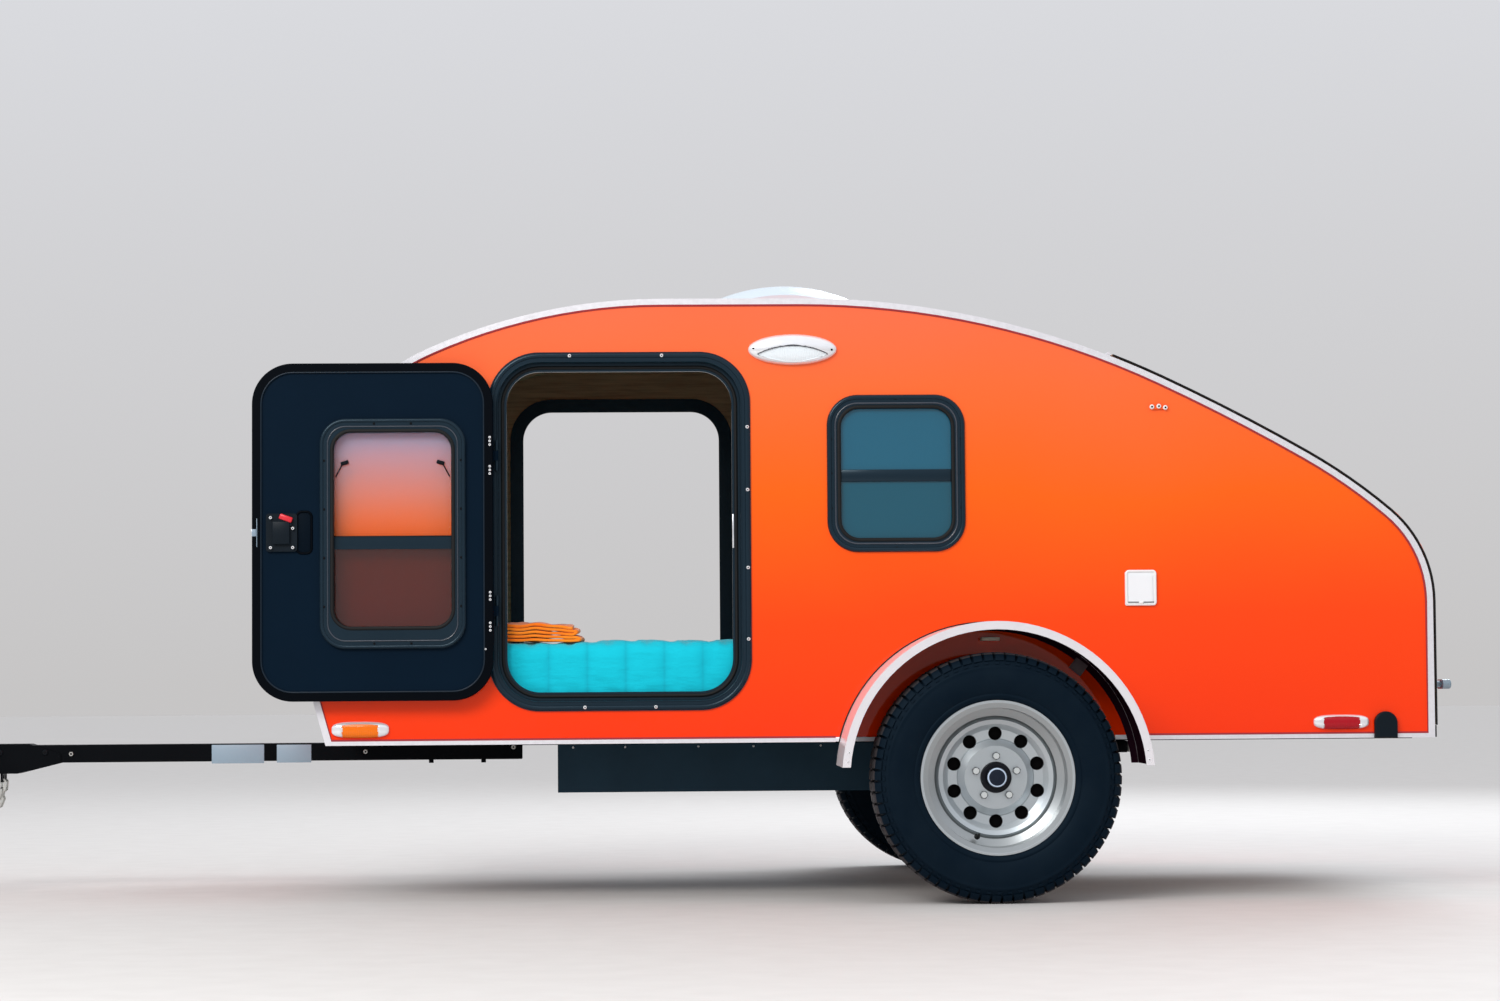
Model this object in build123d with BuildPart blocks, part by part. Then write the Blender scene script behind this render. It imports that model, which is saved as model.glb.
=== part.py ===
from build123d import *
import os
from math import asin, atan2, ceil, cos, degrees, hypot, pi, radians, sin, sqrt

# A two-berth teardrop camping trailer, parked on its wheels and its tongue jack.
# Millimetres. +X points to the rear, +Z up, -Y is the left side, the ground is Z = 0.
# Along the body, places are stations: millimetres behind a mark just ahead of its front corner.

MID_STATION = 1001.0     # station of the origin, halfway between coupler nose and hatch latches
BODY_Z = 428.0           # height of the body's bottom edge above the ground
BODY_HALF = 762.0        # half of the body's five-foot width
WALL = 32.0              # thickness of the side walls, roof and front
TRIM = 2.5               # thickness of the aluminium edge trim
TRIM_FACE = 20.0         # width of the trim on the side of the body
GAP = 5.0                # free space around everything that moves


def x_at(station):
    """X of a station."""
    return station - MID_STATION


def z_at(height):
    """Z of a height above the body's bottom edge."""
    return BODY_Z + height


def side_plane(y):
    """Upright plane across Y, seen from the left; extrusions run towards the left side."""
    return Plane.XZ.offset(-y)


# Side outline of the body, from the front bottom corner up and over to the rear bottom corner.
# Each stretch runs on from the last in line with it.
# Columns: kind of stretch, length of a line or radius of an arc, turn in degrees.
OUTLINE_FRONT = 115.4
OUTLINE_LEAN = 15.7      # the front leans forward by this many degrees
OUTLINE = [
    ("line", 314.0, 0.0),
    ("arc", 658.2, 81.87),
    ("arc", 1556.9, 23.83),
    ("line", 382.2, 0.0),
    ("arc", 2340.6, 25.26),
    ("arc", 5472.3, 4.69),
    ("arc", 1520.4, 10.56),
    ("arc", 326.5, 49.49),
    ("line", 374.1, 0.0),
]
ROOF_ARC_START = 1409.4  # station where the flat roof starts to fall
ROOF_TOP = 1215.2        # height of the flat roof above the body's bottom edge
ROOF_ARC_R = 2340.6
BODY_REAR = 3148.4       # station of the rear edge
RUN_ON = 80.0            # the outline is drawn this far below the body, then cut level
FAR = 6000.0             # larger than the whole trailer


def body_outline(inset, bottom=0.0, mode=Mode.ADD):
    """Face inside the side outline, moved in by inset and cut level at a height."""
    lean = radians(OUTLINE_LEAN)
    heading = Vector(-sin(lean), cos(lean))
    inward = Vector(cos(lean), sin(lean))
    start = Vector(x_at(OUTLINE_FRONT), BODY_Z) + inward * inset - heading * RUN_ON
    with BuildLine() as line:
        point = start
        for row, (kind, size, turn) in enumerate(OUTLINE):
            if kind == "line":
                ends = (row == 0) + (row == len(OUTLINE) - 1)
                stretch = Line(point, point + heading * (size + RUN_ON * ends))
            else:
                stretch = JernArc(point, heading, size - inset, -turn)
            point = stretch @ 1
            heading = stretch % 1
        Line(point, start)
    with BuildSketch() as face:
        make_face(line.edges())
        with Locations((0, z_at(bottom))):
            Rectangle(2 * FAR, FAR, align=(Align.CENTER, Align.MAX), mode=Mode.SUBTRACT)
    add(face.sketch, mode=mode)


# The hatch is hinged on the falling roof arc and runs down to the rear bottom edge.
HINGE_STATION = 2264.0
HINGE_TURN = degrees(asin((HINGE_STATION - ROOF_ARC_START) / ROOF_ARC_R))
HINGE_DROP = ROOF_ARC_R * (1 - cos(radians(HINGE_TURN)))
HINGE_LIFT = 9.0         # the hinge pin stands this far outside the outline
HINGE_POINT = Vector(x_at(HINGE_STATION), 0, z_at(ROOF_TOP - HINGE_DROP))
HINGE_ALONG = Vector(cos(radians(HINGE_TURN)), 0, -sin(radians(HINGE_TURN)))
HINGE_OUT = Vector(sin(radians(HINGE_TURN)), 0, cos(radians(HINGE_TURN)))
HINGE_PIN = HINGE_POINT + HINGE_OUT * HINGE_LIFT
HINGE_PLANE = Plane(origin=HINGE_POINT, x_dir=HINGE_ALONG, z_dir=(0, -1, 0))
ROOF_END = -4.0          # the roof stops this far ahead of the hinge line
HATCH_START = 8.0        # and the hatch starts this far behind it


def behind_hinge(start, mode):
    """Everything behind the hinge line, from a distance past it."""
    edge = HINGE_POINT + HINGE_ALONG * start
    with Locations((edge.X, edge.Z)):
        Rectangle(FAR, FAR, rotation=-HINGE_TURN, align=(Align.MIN, Align.CENTER), mode=mode)


def save(builder, name):
    """Label a finished piece and write it as its own file."""
    builder.part.label = name
    export_step(builder.part, f"parts/{name}.step")
    solids = len(builder.part.solids())
    print(f"{name}: {solids} solids, {builder.part.volume / 1e6:.2f} litres")


def save_pair(builder, name):
    """Write a left piece, and its mirror image on the right."""
    save(builder, f"{name}_left")
    with BuildPart() as right:
        mirror(builder.part, about=Plane.XZ)
    save(right, f"{name}_right")


def save_both(builder, name):
    """Write a left piece and its mirror image as one piece of the body."""
    with BuildPart() as both:
        add(builder.part)
        mirror(builder.part, about=Plane.XZ)
    save(both, name)


os.makedirs("parts", exist_ok=True)

# Openings in the side walls
DOOR_STATION = 916.5
DOOR_HEIGHT = 579.0
FRAME_SIZE = (717.0, 980.0, 140.0)    # width, height, corner radius of the outer flange
POCKET_SIZE = (662.0, 927.0, 113.0)   # the leaf closes into this
CUT_SIZE = (668.0, 933.0, 116.0)      # hole in the wall
LIP_SIZE = (616.0, 877.0, 90.0)       # clear way in, inside the stop lip
WINDOW_STATION = 1674.0
WINDOW_HEIGHT = 733.0
WINDOW_FLANGE = (379.0, 431.0, 84.0)
WINDOW_CUT = (345.0, 397.0, 67.0)
WINDOW_CLEAR = (305.0, 357.0, 47.0)
WINDOW_BAR = 13.0
WINDOW_BAR_DROP = 5.0
VENT_STATION = 1397.0
VENT_CUT = 356.0


def rounded(size, station, height, mode=Mode.ADD):
    """Upright rounded rectangle at a station and height."""
    width, tall, corner = size
    with Locations((x_at(station), z_at(height))):
        RectangleRounded(width, tall, corner, mode=mode)


# Side walls, whole thickness, with the door and window cut out
INNER_Y = BODY_HALF - WALL
with BuildPart() as side_wall:
    with BuildSketch(side_plane(-INNER_Y)):
        body_outline(TRIM, TRIM)
        rounded(CUT_SIZE, DOOR_STATION, DOOR_HEIGHT, Mode.SUBTRACT)
        rounded(WINDOW_CUT, WINDOW_STATION, WINDOW_HEIGHT, Mode.SUBTRACT)
    extrude(amount=WALL)
save_pair(side_wall, "side_wall")

# Front and roof, one curved panel from the front bottom edge to the hatch hinge
with BuildPart() as roof_shell:
    with BuildSketch(side_plane(0)):
        body_outline(TRIM, TRIM)
        body_outline(TRIM + WALL, -RUN_ON / 2, Mode.SUBTRACT)
        behind_hinge(ROOF_END, Mode.SUBTRACT)
    extrude(amount=INNER_Y, both=True)
    with BuildSketch(Plane.XY.offset(z_at(ROOF_TOP) - 3 * WALL)):
        with Locations((x_at(VENT_STATION), 0)):
            RectangleRounded(VENT_CUT, VENT_CUT, 20)
    extrude(amount=6 * WALL, mode=Mode.SUBTRACT)
save(roof_shell, "roof_shell")

# Floor, chassis and what closes the cabin behind
RAIL = 51.0              # two-inch square steel
RAIL_WALL = 3.2
RAIL_Z = 424.0           # underside of the rails
FLOOR_T = 22.0
FLOOR_LOW = RAIL_Z + RAIL - BODY_Z
FLOOR_TOP = FLOOR_LOW + FLOOR_T
FLOOR_REAR = 3110.0
RAIL_Y = 620.0
RAIL_FRONT = 200.0
BULKHEAD_STATION = 2140.0
BULKHEAD_T = 20.0


def band(low, high, front, rear):
    """Keep only a level band of the sketch, between two stations."""
    with Locations((x_at(front), z_at(low))):
        Rectangle(rear - front, high - low, align=(Align.MIN, Align.MIN), mode=Mode.INTERSECT)


with BuildPart() as floor:
    with BuildSketch(side_plane(0)):
        body_outline(TRIM + WALL, -RUN_ON / 2)
        band(FLOOR_LOW, FLOOR_TOP, 0, FLOOR_REAR)
    extrude(amount=INNER_Y, both=True)
save(floor, "floor")

SILL_TOP = 28.0
with BuildPart() as rear_sill:
    with BuildSketch(side_plane(0)):
        body_outline(TRIM, TRIM)
        band(TRIM, SILL_TOP, BODY_REAR - WALL, BODY_REAR)
    extrude(amount=INNER_Y, both=True)
save(rear_sill, "rear_sill")

with BuildPart() as bulkhead:
    with BuildSketch(side_plane(0)):
        body_outline(TRIM + WALL, FLOOR_TOP)
        band(FLOOR_TOP, FAR / 2, BULKHEAD_STATION, BULKHEAD_STATION + BULKHEAD_T)
    extrude(amount=INNER_Y, both=True)
save(bulkhead, "bulkhead")


def hollow_bar(length, width, tall, wall):
    """Rectangular steel tube along X, centred in plan, standing on the current place."""
    Box(length, width, tall, align=(Align.MIN, Align.CENTER, Align.MIN))
    with Locations((0, 0, wall)):
        Box(length, width - 2 * wall, tall - 2 * wall,
            align=(Align.MIN, Align.CENTER, Align.MIN), mode=Mode.SUBTRACT)


with BuildPart() as chassis_rails:
    for rail_y in (-RAIL_Y, RAIL_Y):
        with Locations((x_at(RAIL_FRONT), rail_y, RAIL_Z)):
            hollow_bar(FLOOR_REAR - RAIL_FRONT, RAIL, RAIL, RAIL_WALL)
save(chassis_rails, "chassis_rails")

CROSS_STATIONS = [200.0, 573.0, 1260.0, 1752.0, 2420.0, 3059.0]   # front face of each
with BuildPart() as crossmembers:
    for cross_station in CROSS_STATIONS:
        with Locations(Location((x_at(cross_station) + RAIL / 2, 0, RAIL_Z), (0, 0, 90))):
            with Locations((-(RAIL_Y - RAIL / 2), 0, 0)):
                hollow_bar(2 * RAIL_Y - RAIL, RAIL, RAIL, RAIL_WALL)
save(crossmembers, "crossmembers")

# Galley behind the bulkhead, open to the rear under the hatch
COUNTER_TOP = 465.0
COUNTER_T = 25.0
BOARD = 18.0
CABINET_REAR = 2990.0
CABINET_HALF = 700.0
BAYS = 3
galley_front = BULKHEAD_STATION + BULKHEAD_T
cabinet_low = FLOOR_TOP
cabinet_tall = COUNTER_TOP - COUNTER_T - cabinet_low
with BuildPart() as galley_cabinet:
    with Locations((x_at(galley_front), 0, z_at(cabinet_low))):
        Box(CABINET_REAR - galley_front, 2 * CABINET_HALF, cabinet_tall,
            align=(Align.MIN, Align.CENTER, Align.MIN))
    bay_pitch = (2 * CABINET_HALF - BOARD) / BAYS
    with Locations((x_at(galley_front) + BOARD, 0, z_at(cabinet_low) + BOARD)):
        with GridLocations(1, bay_pitch, 1, BAYS):
            Box(CABINET_REAR - galley_front, bay_pitch - BOARD, cabinet_tall - 2 * BOARD,
                align=(Align.MIN, Align.CENTER, Align.MIN), mode=Mode.SUBTRACT)
save(galley_cabinet, "galley_cabinet")

COUNTER_REAR = 3050.0
with BuildPart() as galley_counter:
    with Locations((x_at(galley_front), 0, z_at(COUNTER_TOP))):
        Box(COUNTER_REAR - galley_front, 2 * INNER_Y, COUNTER_T,
            align=(Align.MIN, Align.CENTER, Align.MAX))
    edge = galley_counter.edges().filter_by(Axis.Y).group_by(Axis.X)[-1]
    fillet(edge, 8)
save(galley_counter, "galley_counter")

SHELF_HEIGHT = 700.0
SHELF_HALF = 690.0
SHELF_DEEP = 300.0
with BuildPart() as galley_shelf:
    with Locations((x_at(galley_front), 0, z_at(COUNTER_TOP))):
        Box(SHELF_DEEP, 2 * SHELF_HALF, SHELF_HEIGHT - COUNTER_TOP,
            align=(Align.MIN, Align.CENTER, Align.MIN))
        Box(SHELF_DEEP, 2 * SHELF_HALF - 2 * BOARD, SHELF_HEIGHT - COUNTER_TOP - BOARD,
            align=(Align.MIN, Align.CENTER, Align.MIN), mode=Mode.SUBTRACT)
        Box(SHELF_DEEP, BOARD, SHELF_HEIGHT - COUNTER_TOP,
            align=(Align.MIN, Align.CENTER, Align.MIN))
save(galley_shelf, "galley_shelf")

# Aluminium trim that wraps the edge of each side, broken where the fender stands
WHEEL_STATION = 1918.0
WHEEL_Z = 334.0
FENDER_R = 416.0
TRIM_FOOT = 15.0
TRIM_OVER = WALL + 2.0   # the flange that lies on the roof
with BuildPart() as edge_trims:
    with BuildSketch(side_plane(-BODY_HALF)):
        body_outline(0)
        body_outline(TRIM_FACE, TRIM_FOOT, Mode.SUBTRACT)
        with Locations((x_at(WHEEL_STATION), BODY_Z)):
            Rectangle(2 * FENDER_R, 3 * TRIM_FOOT, mode=Mode.SUBTRACT)
    extrude(amount=TRIM)
    with BuildSketch(side_plane(-BODY_HALF + TRIM_OVER)):
        body_outline(0, TRIM_FOOT)
        body_outline(TRIM, -RUN_ON / 2, Mode.SUBTRACT)
    extrude(amount=TRIM_OVER)
save_both(edge_trims, "edge_trims")

# Fenders, rolled aluminium arches around the wheels
FENDER_OUT = 1052.0      # half of the overall width
FENDER_SHEET = 2.5
FENDER_LIP = 22.0
FENDER_END_Z = 365.0
fender_end = degrees(asin((FENDER_END_Z - WHEEL_Z) / FENDER_R))


def arch(radius, thickness):
    """Arch over the wheel, open downwards, drawn on the sketch plane."""
    with Locations((x_at(WHEEL_STATION), WHEEL_Z)):
        Circle(radius)
        Circle(radius - thickness, mode=Mode.SUBTRACT)
    with Locations((x_at(WHEEL_STATION), FENDER_END_Z)):
        Rectangle(3 * radius, 2 * radius, align=(Align.CENTER, Align.MAX), mode=Mode.SUBTRACT)


with BuildPart() as fenders:
    with BuildSketch(side_plane(-BODY_HALF)):
        arch(FENDER_R, FENDER_SHEET)
    extrude(amount=FENDER_OUT - BODY_HALF)
    with BuildSketch(side_plane(-FENDER_OUT + FENDER_SHEET)):
        arch(FENDER_R, FENDER_LIP)
    extrude(amount=FENDER_SHEET)
    with BuildSketch(side_plane(-BODY_HALF)):
        arch(FENDER_R, FENDER_LIP)
    extrude(amount=FENDER_SHEET)
save_both(fenders, "fenders")

# Door frames, a flange outside the wall, a jamb through it and a stop lip inside
FLANGE_T = 4.0
LIP_FACE_Y = 739.0
with BuildPart() as door_frame:
    with BuildSketch(side_plane(-BODY_HALF)):
        rounded(FRAME_SIZE, DOOR_STATION, DOOR_HEIGHT)
        rounded(POCKET_SIZE, DOOR_STATION, DOOR_HEIGHT, Mode.SUBTRACT)
    extrude(amount=FLANGE_T)
    with BuildSketch(side_plane(-LIP_FACE_Y)):
        rounded(CUT_SIZE, DOOR_STATION, DOOR_HEIGHT)
        rounded(POCKET_SIZE, DOOR_STATION, DOOR_HEIGHT, Mode.SUBTRACT)
    extrude(amount=BODY_HALF - LIP_FACE_Y)
    with BuildSketch(side_plane(-INNER_Y)):
        rounded(CUT_SIZE, DOOR_STATION, DOOR_HEIGHT)
        rounded(LIP_SIZE, DOOR_STATION, DOOR_HEIGHT, Mode.SUBTRACT)
    extrude(amount=LIP_FACE_Y - INNER_Y)
    with BuildSketch(side_plane(-INNER_Y + FLANGE_T)):
        rounded((FRAME_SIZE[0] - 20, FRAME_SIZE[1] - 20, 130), DOOR_STATION, DOOR_HEIGHT)
        rounded(LIP_SIZE, DOOR_STATION, DOOR_HEIGHT, Mode.SUBTRACT)
    extrude(amount=FLANGE_T)

# Door hinges, two to a door on an upright axis outside the front of the frame
LEAF_SIZE = (652.0, 917.0, 110.0)
LEAF_T = 40.0
LEAF_CLOSED_Y = LIP_FACE_Y + GAP      # inner face of the closed leaf
DOOR_AXIS_STATION = 582.0
DOOR_AXIS_Y = 778.5
KNUCKLE_R = 5.0
PIN_R = 2.5
KNUCKLE_TALL = 27.0
KNUCKLE_STEP = 28.0
DOOR_HINGE_HEIGHTS = [786.0, 363.0]
leaf_open_station = 2 * DOOR_AXIS_STATION - DOOR_STATION
leaf_open_inner = 2 * DOOR_AXIS_Y - LEAF_CLOSED_Y    # face that shows when the door is open
leaf_open_outer = leaf_open_inner - LEAF_T
hinge_web = 2 * DOOR_AXIS_STATION - (DOOR_STATION - LEAF_SIZE[0] / 2)


def knuckles(rows, bore, mode=Mode.ADD):
    """Upright hinge knuckles or a pin through them, at each hinge of a door."""
    for hinge_height in DOOR_HINGE_HEIGHTS:
        for row in rows:
            middle = z_at(hinge_height + row * KNUCKLE_STEP)
            with Locations((x_at(DOOR_AXIS_STATION), -DOOR_AXIS_Y, middle)):
                Cylinder(bore, KNUCKLE_TALL, mode=mode)


def door_web(station_from, station_to, y_from, y_to, rows):
    """Plates that carry the knuckles."""
    for hinge_height in DOOR_HINGE_HEIGHTS:
        for row in rows:
            middle = z_at(hinge_height + row * KNUCKLE_STEP)
            with Locations((x_at(station_from), -y_to, middle)):
                Box(station_to - station_from, y_to - y_from, KNUCKLE_TALL,
                    align=(Align.MIN, Align.MIN, Align.CENTER))


FRAME_ROWS = [-1, 1]
LEAF_ROWS = [0]
with door_frame:
    knuckles(FRAME_ROWS, KNUCKLE_R)
    door_web(DOOR_AXIS_STATION - 4, DOOR_AXIS_STATION + 3, BODY_HALF + 2, DOOR_AXIS_Y, FRAME_ROWS)
    for hinge_height in DOOR_HINGE_HEIGHTS:
        with Locations((x_at(DOOR_AXIS_STATION), -DOOR_AXIS_Y, z_at(hinge_height))):
            Cylinder(PIN_R, 2 * KNUCKLE_STEP)
save_pair(door_frame, "door_frame")

# Door leaf, shown open and folded forward by half a turn
DOOR_RING = (395.0, 625.0, 70.0)
DOOR_GLASS = (320.0, 528.0, 48.0)
LEAF_CUT = (352.0, 580.0, 58.0)
RING_STATION = 302.0
RING_HEIGHT = 574.0
GLASS_HEIGHT = 585.0
DOOR_BAR = 34.0
DOOR_BAR_HEIGHT = 549.0
RIM_BAND = 27.0
RIM_DEEP = 4.0
with BuildPart() as door_leaf:
    with BuildSketch(side_plane(-leaf_open_outer)):
        rounded(LEAF_SIZE, leaf_open_station, DOOR_HEIGHT)
    extrude(amount=LEAF_T)
    fillet(door_leaf.edges().group_by(Axis.Y)[-1], 6)
    fillet(door_leaf.edges().group_by(Axis.Y)[0], 3)
    with BuildSketch(side_plane(-leaf_open_inner + RIM_DEEP)):
        width, tall, corner = LEAF_SIZE
        rounded((width - 2 * RIM_BAND, tall - 2 * RIM_BAND, corner - RIM_BAND),
                leaf_open_station, DOOR_HEIGHT)
    extrude(amount=RIM_DEEP, mode=Mode.SUBTRACT)
    with BuildSketch(side_plane(-leaf_open_outer + RIM_DEEP)):
        rounded(LEAF_CUT, RING_STATION, GLASS_HEIGHT - 8)
    extrude(amount=2 * LEAF_T, mode=Mode.SUBTRACT)
    knuckles(LEAF_ROWS, KNUCKLE_R)
    door_web(leaf_open_station + LEAF_SIZE[0] / 2 - 1, DOOR_AXIS_STATION,
             DOOR_AXIS_Y - 1, DOOR_AXIS_Y + KNUCKLE_R, LEAF_ROWS)
    knuckles(LEAF_ROWS, PIN_R + 0.1, Mode.SUBTRACT)
save_pair(door_leaf, "door_leaf")

# Window in the door leaf, its rings clamp the leaf from both faces
RING_T = 6.0
OUTER_RING_T = 4.0


def door_glass_outline(mode=Mode.ADD):
    rounded(DOOR_GLASS, RING_STATION, GLASS_HEIGHT, mode)


with BuildPart() as door_window:
    with BuildSketch(side_plane(-leaf_open_inner + RIM_DEEP)):
        rounded(DOOR_RING, RING_STATION, RING_HEIGHT)
        door_glass_outline(Mode.SUBTRACT)
    extrude(amount=RIM_DEEP + RING_T)
    fillet(door_window.edges().group_by(Axis.Y)[0], 3)
    with BuildSketch(side_plane(-leaf_open_outer + OUTER_RING_T)):
        rounded(DOOR_RING, RING_STATION, RING_HEIGHT)
        door_glass_outline(Mode.SUBTRACT)
    extrude(amount=OUTER_RING_T)
    with BuildSketch(side_plane(-leaf_open_outer)):
        rounded((LEAF_CUT[0] - 1, LEAF_CUT[1] - 1, LEAF_CUT[2]), RING_STATION, GLASS_HEIGHT - 8)
        door_glass_outline(Mode.SUBTRACT)
    extrude(amount=LEAF_T - RIM_DEEP)
    with BuildSketch(side_plane(-leaf_open_outer - 12)):
        with Locations((x_at(RING_STATION), z_at(DOOR_BAR_HEIGHT))):
            Rectangle(DOOR_GLASS[0] + 8, DOOR_BAR)
    extrude(amount=14)
save_pair(door_window, "door_window")

PANE = 5.0
with BuildPart() as door_glass:
    with BuildSketch(side_plane(-leaf_open_outer - 16)):
        door_glass_outline()
        with Locations((x_at(RING_STATION), z_at(DOOR_BAR_HEIGHT))):
            Rectangle(DOOR_GLASS[0] + 8, DOOR_BAR, mode=Mode.SUBTRACT)
    extrude(amount=PANE)
save_pair(door_glass, "door_glass")

# Door latch, a plate with a grip inside and a flush paddle outside
LATCH_STATION = 2.0
LATCH_HEIGHT = 578.0
LATCH_SIZE = (84.0, 103.0)
PADDLE_SIZE = (68.0, 96.0)
PADDLE_T = 3.0
with BuildPart() as door_latch:
    with BuildSketch(side_plane(-leaf_open_inner + RIM_DEEP)):
        with Locations((x_at(LATCH_STATION), z_at(LATCH_HEIGHT))):
            RectangleRounded(LATCH_SIZE[0], LATCH_SIZE[1], 8)
    extrude(amount=RIM_DEEP + 4)
    with BuildSketch(side_plane(-leaf_open_inner - 4)):
        with Locations((x_at(LATCH_STATION + 10), z_at(LATCH_HEIGHT + 28))):
            Rectangle(36, 20)
    extrude(amount=8)
    with BuildSketch(side_plane(-leaf_open_outer + PADDLE_T)):
        with Locations((x_at(LATCH_STATION), z_at(LATCH_HEIGHT))):
            RectangleRounded(PADDLE_SIZE[0], PADDLE_SIZE[1], 10)
    extrude(amount=PADDLE_T)
save_pair(door_latch, "door_latch")

# Side windows
WINDOW_FLANGE_T = 6.0


def window_bar(mode):
    with Locations((x_at(WINDOW_STATION), z_at(WINDOW_HEIGHT - WINDOW_BAR_DROP))):
        Rectangle(WINDOW_CLEAR[0] + 8, WINDOW_BAR, mode=mode)


with BuildPart() as window_frames:
    with BuildSketch(side_plane(-BODY_HALF)):
        rounded(WINDOW_FLANGE, WINDOW_STATION, WINDOW_HEIGHT)
        rounded(WINDOW_CLEAR, WINDOW_STATION, WINDOW_HEIGHT, Mode.SUBTRACT)
    extrude(amount=WINDOW_FLANGE_T)
    fillet(window_frames.edges().group_by(Axis.Y)[0], 3)
    with BuildSketch(side_plane(-INNER_Y)):
        rounded(WINDOW_CUT, WINDOW_STATION, WINDOW_HEIGHT)
        rounded(WINDOW_CLEAR, WINDOW_STATION, WINDOW_HEIGHT, Mode.SUBTRACT)
    extrude(amount=WALL)
    with BuildSketch(side_plane(-INNER_Y + FLANGE_T)):
        rounded((365, 417, 77), WINDOW_STATION, WINDOW_HEIGHT)
        rounded(WINDOW_CLEAR, WINDOW_STATION, WINDOW_HEIGHT, Mode.SUBTRACT)
    extrude(amount=FLANGE_T)
    with BuildSketch(side_plane(-BODY_HALF + 14)):
        window_bar(Mode.ADD)
    extrude(amount=14)
save_both(window_frames, "window_frames")

with BuildPart() as window_glass:
    with BuildSketch(side_plane(-BODY_HALF + 10)):
        rounded(WINDOW_CLEAR, WINDOW_STATION, WINDOW_HEIGHT)
        window_bar(Mode.SUBTRACT)
    extrude(amount=PANE)
save_both(window_glass, "window_glass")

# Lamps and fittings on the side walls
PORCH_STATION = 1392.0
PORCH_HEIGHT = 1074.0
PORCH_LONG = 121.5       # half length of the oval base
PORCH_TALL = 42.0
PORCH_BASE_T = 6.0
LENS_LONG = 88.0
LENS_TALL = 24.0
LENS_OUT = 24.0          # the lens stands this far out of the wall
ARCH_TALL = 64.0         # the lens ends below a flat arch, the top of an ellipse this high
LENS_DROP = 58.0         # that is centred this far below the lamp
# The lamp's body rises from its base in oval steps. Columns: half length, half height, thickness.
PORCH_STEPS = [(112.0, 35.0, 12.0), (98.0, 28.0, 18.0)]
with BuildPart() as porch_lights:
    with BuildSketch(side_plane(-BODY_HALF)):
        with Locations((x_at(PORCH_STATION), z_at(PORCH_HEIGHT))):
            Ellipse(PORCH_LONG, PORCH_TALL)
    extrude(amount=PORCH_BASE_T)
    for half_long, half_tall, thick in PORCH_STEPS:
        with BuildSketch(side_plane(-BODY_HALF)):
            with Locations((x_at(PORCH_STATION), z_at(PORCH_HEIGHT))):
                Ellipse(half_long, half_tall)
        extrude(amount=thick)
    with BuildSketch(side_plane(-BODY_HALF)):
        with Locations((x_at(PORCH_STATION), z_at(PORCH_HEIGHT))):
            Ellipse(LENS_LONG, LENS_TALL)
        with Locations((x_at(PORCH_STATION), z_at(PORCH_HEIGHT) - LENS_DROP)):
            Ellipse(PORCH_LONG, ARCH_TALL, mode=Mode.INTERSECT)
    extrude(amount=LENS_OUT)
save_both(porch_lights, "porch_lights")

# Columns: station, height, length, tall
MARKERS = [(210.0, 43.0, 156.0, 44.0), (2889.0, 44.0, 152.0, 40.0)]
MARKER_BASE_T = 5.0
MARKER_BOSS = 11.0       # the chrome body stands this far out of its base
MARKER_LENS = 0.62       # share of the length that the coloured lens takes
with BuildPart() as marker_lights:
    for station, height, length, tall in MARKERS:
        with BuildSketch(side_plane(-BODY_HALF)):
            with Locations((x_at(station), z_at(height))):
                SlotOverall(length, tall)
        extrude(amount=MARKER_BASE_T)
        with BuildSketch(side_plane(-BODY_HALF - MARKER_BASE_T)):
            with Locations((x_at(station), z_at(height))):
                SlotOverall(length - 8, tall - 8)
        extrude(amount=MARKER_BOSS, taper=25)
        with BuildSketch(side_plane(-BODY_HALF - MARKER_BASE_T)):
            with Locations((x_at(station), z_at(height))):
                RectangleRounded(MARKER_LENS * length, tall - 10, 6)
        extrude(amount=MARKER_BOSS + 4, taper=15)
save_both(marker_lights, "marker_lights")

# Columns: station, height, length, tall, corner, thickness
FITTINGS = [
    (2341.0, 413.0, 84.0, 93.0, 4.0, 5.0),
    (2398.0, 911.0, 50.0, 12.0, 5.0, 6.0),
]
PORT_STATION = 3011.0
PORT_WIDE = 63.0
PORT_TOP = 72.0
with BuildPart() as side_fittings:
    for station, height, length, tall, corner, thick in FITTINGS:
        with BuildSketch(side_plane(-BODY_HALF)):
            with Locations((x_at(station), z_at(height))):
                RectangleRounded(length, tall, corner)
        extrude(amount=thick)
    with BuildSketch(side_plane(-BODY_HALF)):
        with Locations((x_at(2341), z_at(413))):
            RectangleRounded(66, 75, 3)
    extrude(amount=8)
save_both(side_fittings, "side_fittings")

with BuildPart() as rear_ports:
    with BuildSketch(side_plane(-BODY_HALF - TRIM)):
        with Locations((x_at(PORT_STATION), z_at(PORT_TOP - PORT_WIDE / 2))):
            Circle(PORT_WIDE / 2)
            Rectangle(PORT_WIDE, PORT_TOP - PORT_WIDE / 2, align=(Align.CENTER, Align.MAX))
    extrude(amount=14)
    fillet(rear_ports.edges().group_by(Axis.Y)[0], 4)
    with BuildSketch(side_plane(-BODY_HALF)):
        with Locations((x_at(PORT_STATION), z_at(PORT_TOP - PORT_WIDE / 2))):
            Circle(PORT_WIDE / 2)
        with Locations((x_at(PORT_STATION), z_at(TRIM_FOOT))):
            Rectangle(PORT_WIDE, PORT_TOP, align=(Align.CENTER, Align.MAX), mode=Mode.SUBTRACT)
    extrude(amount=TRIM)
save_both(rear_ports, "rear_ports")

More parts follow.
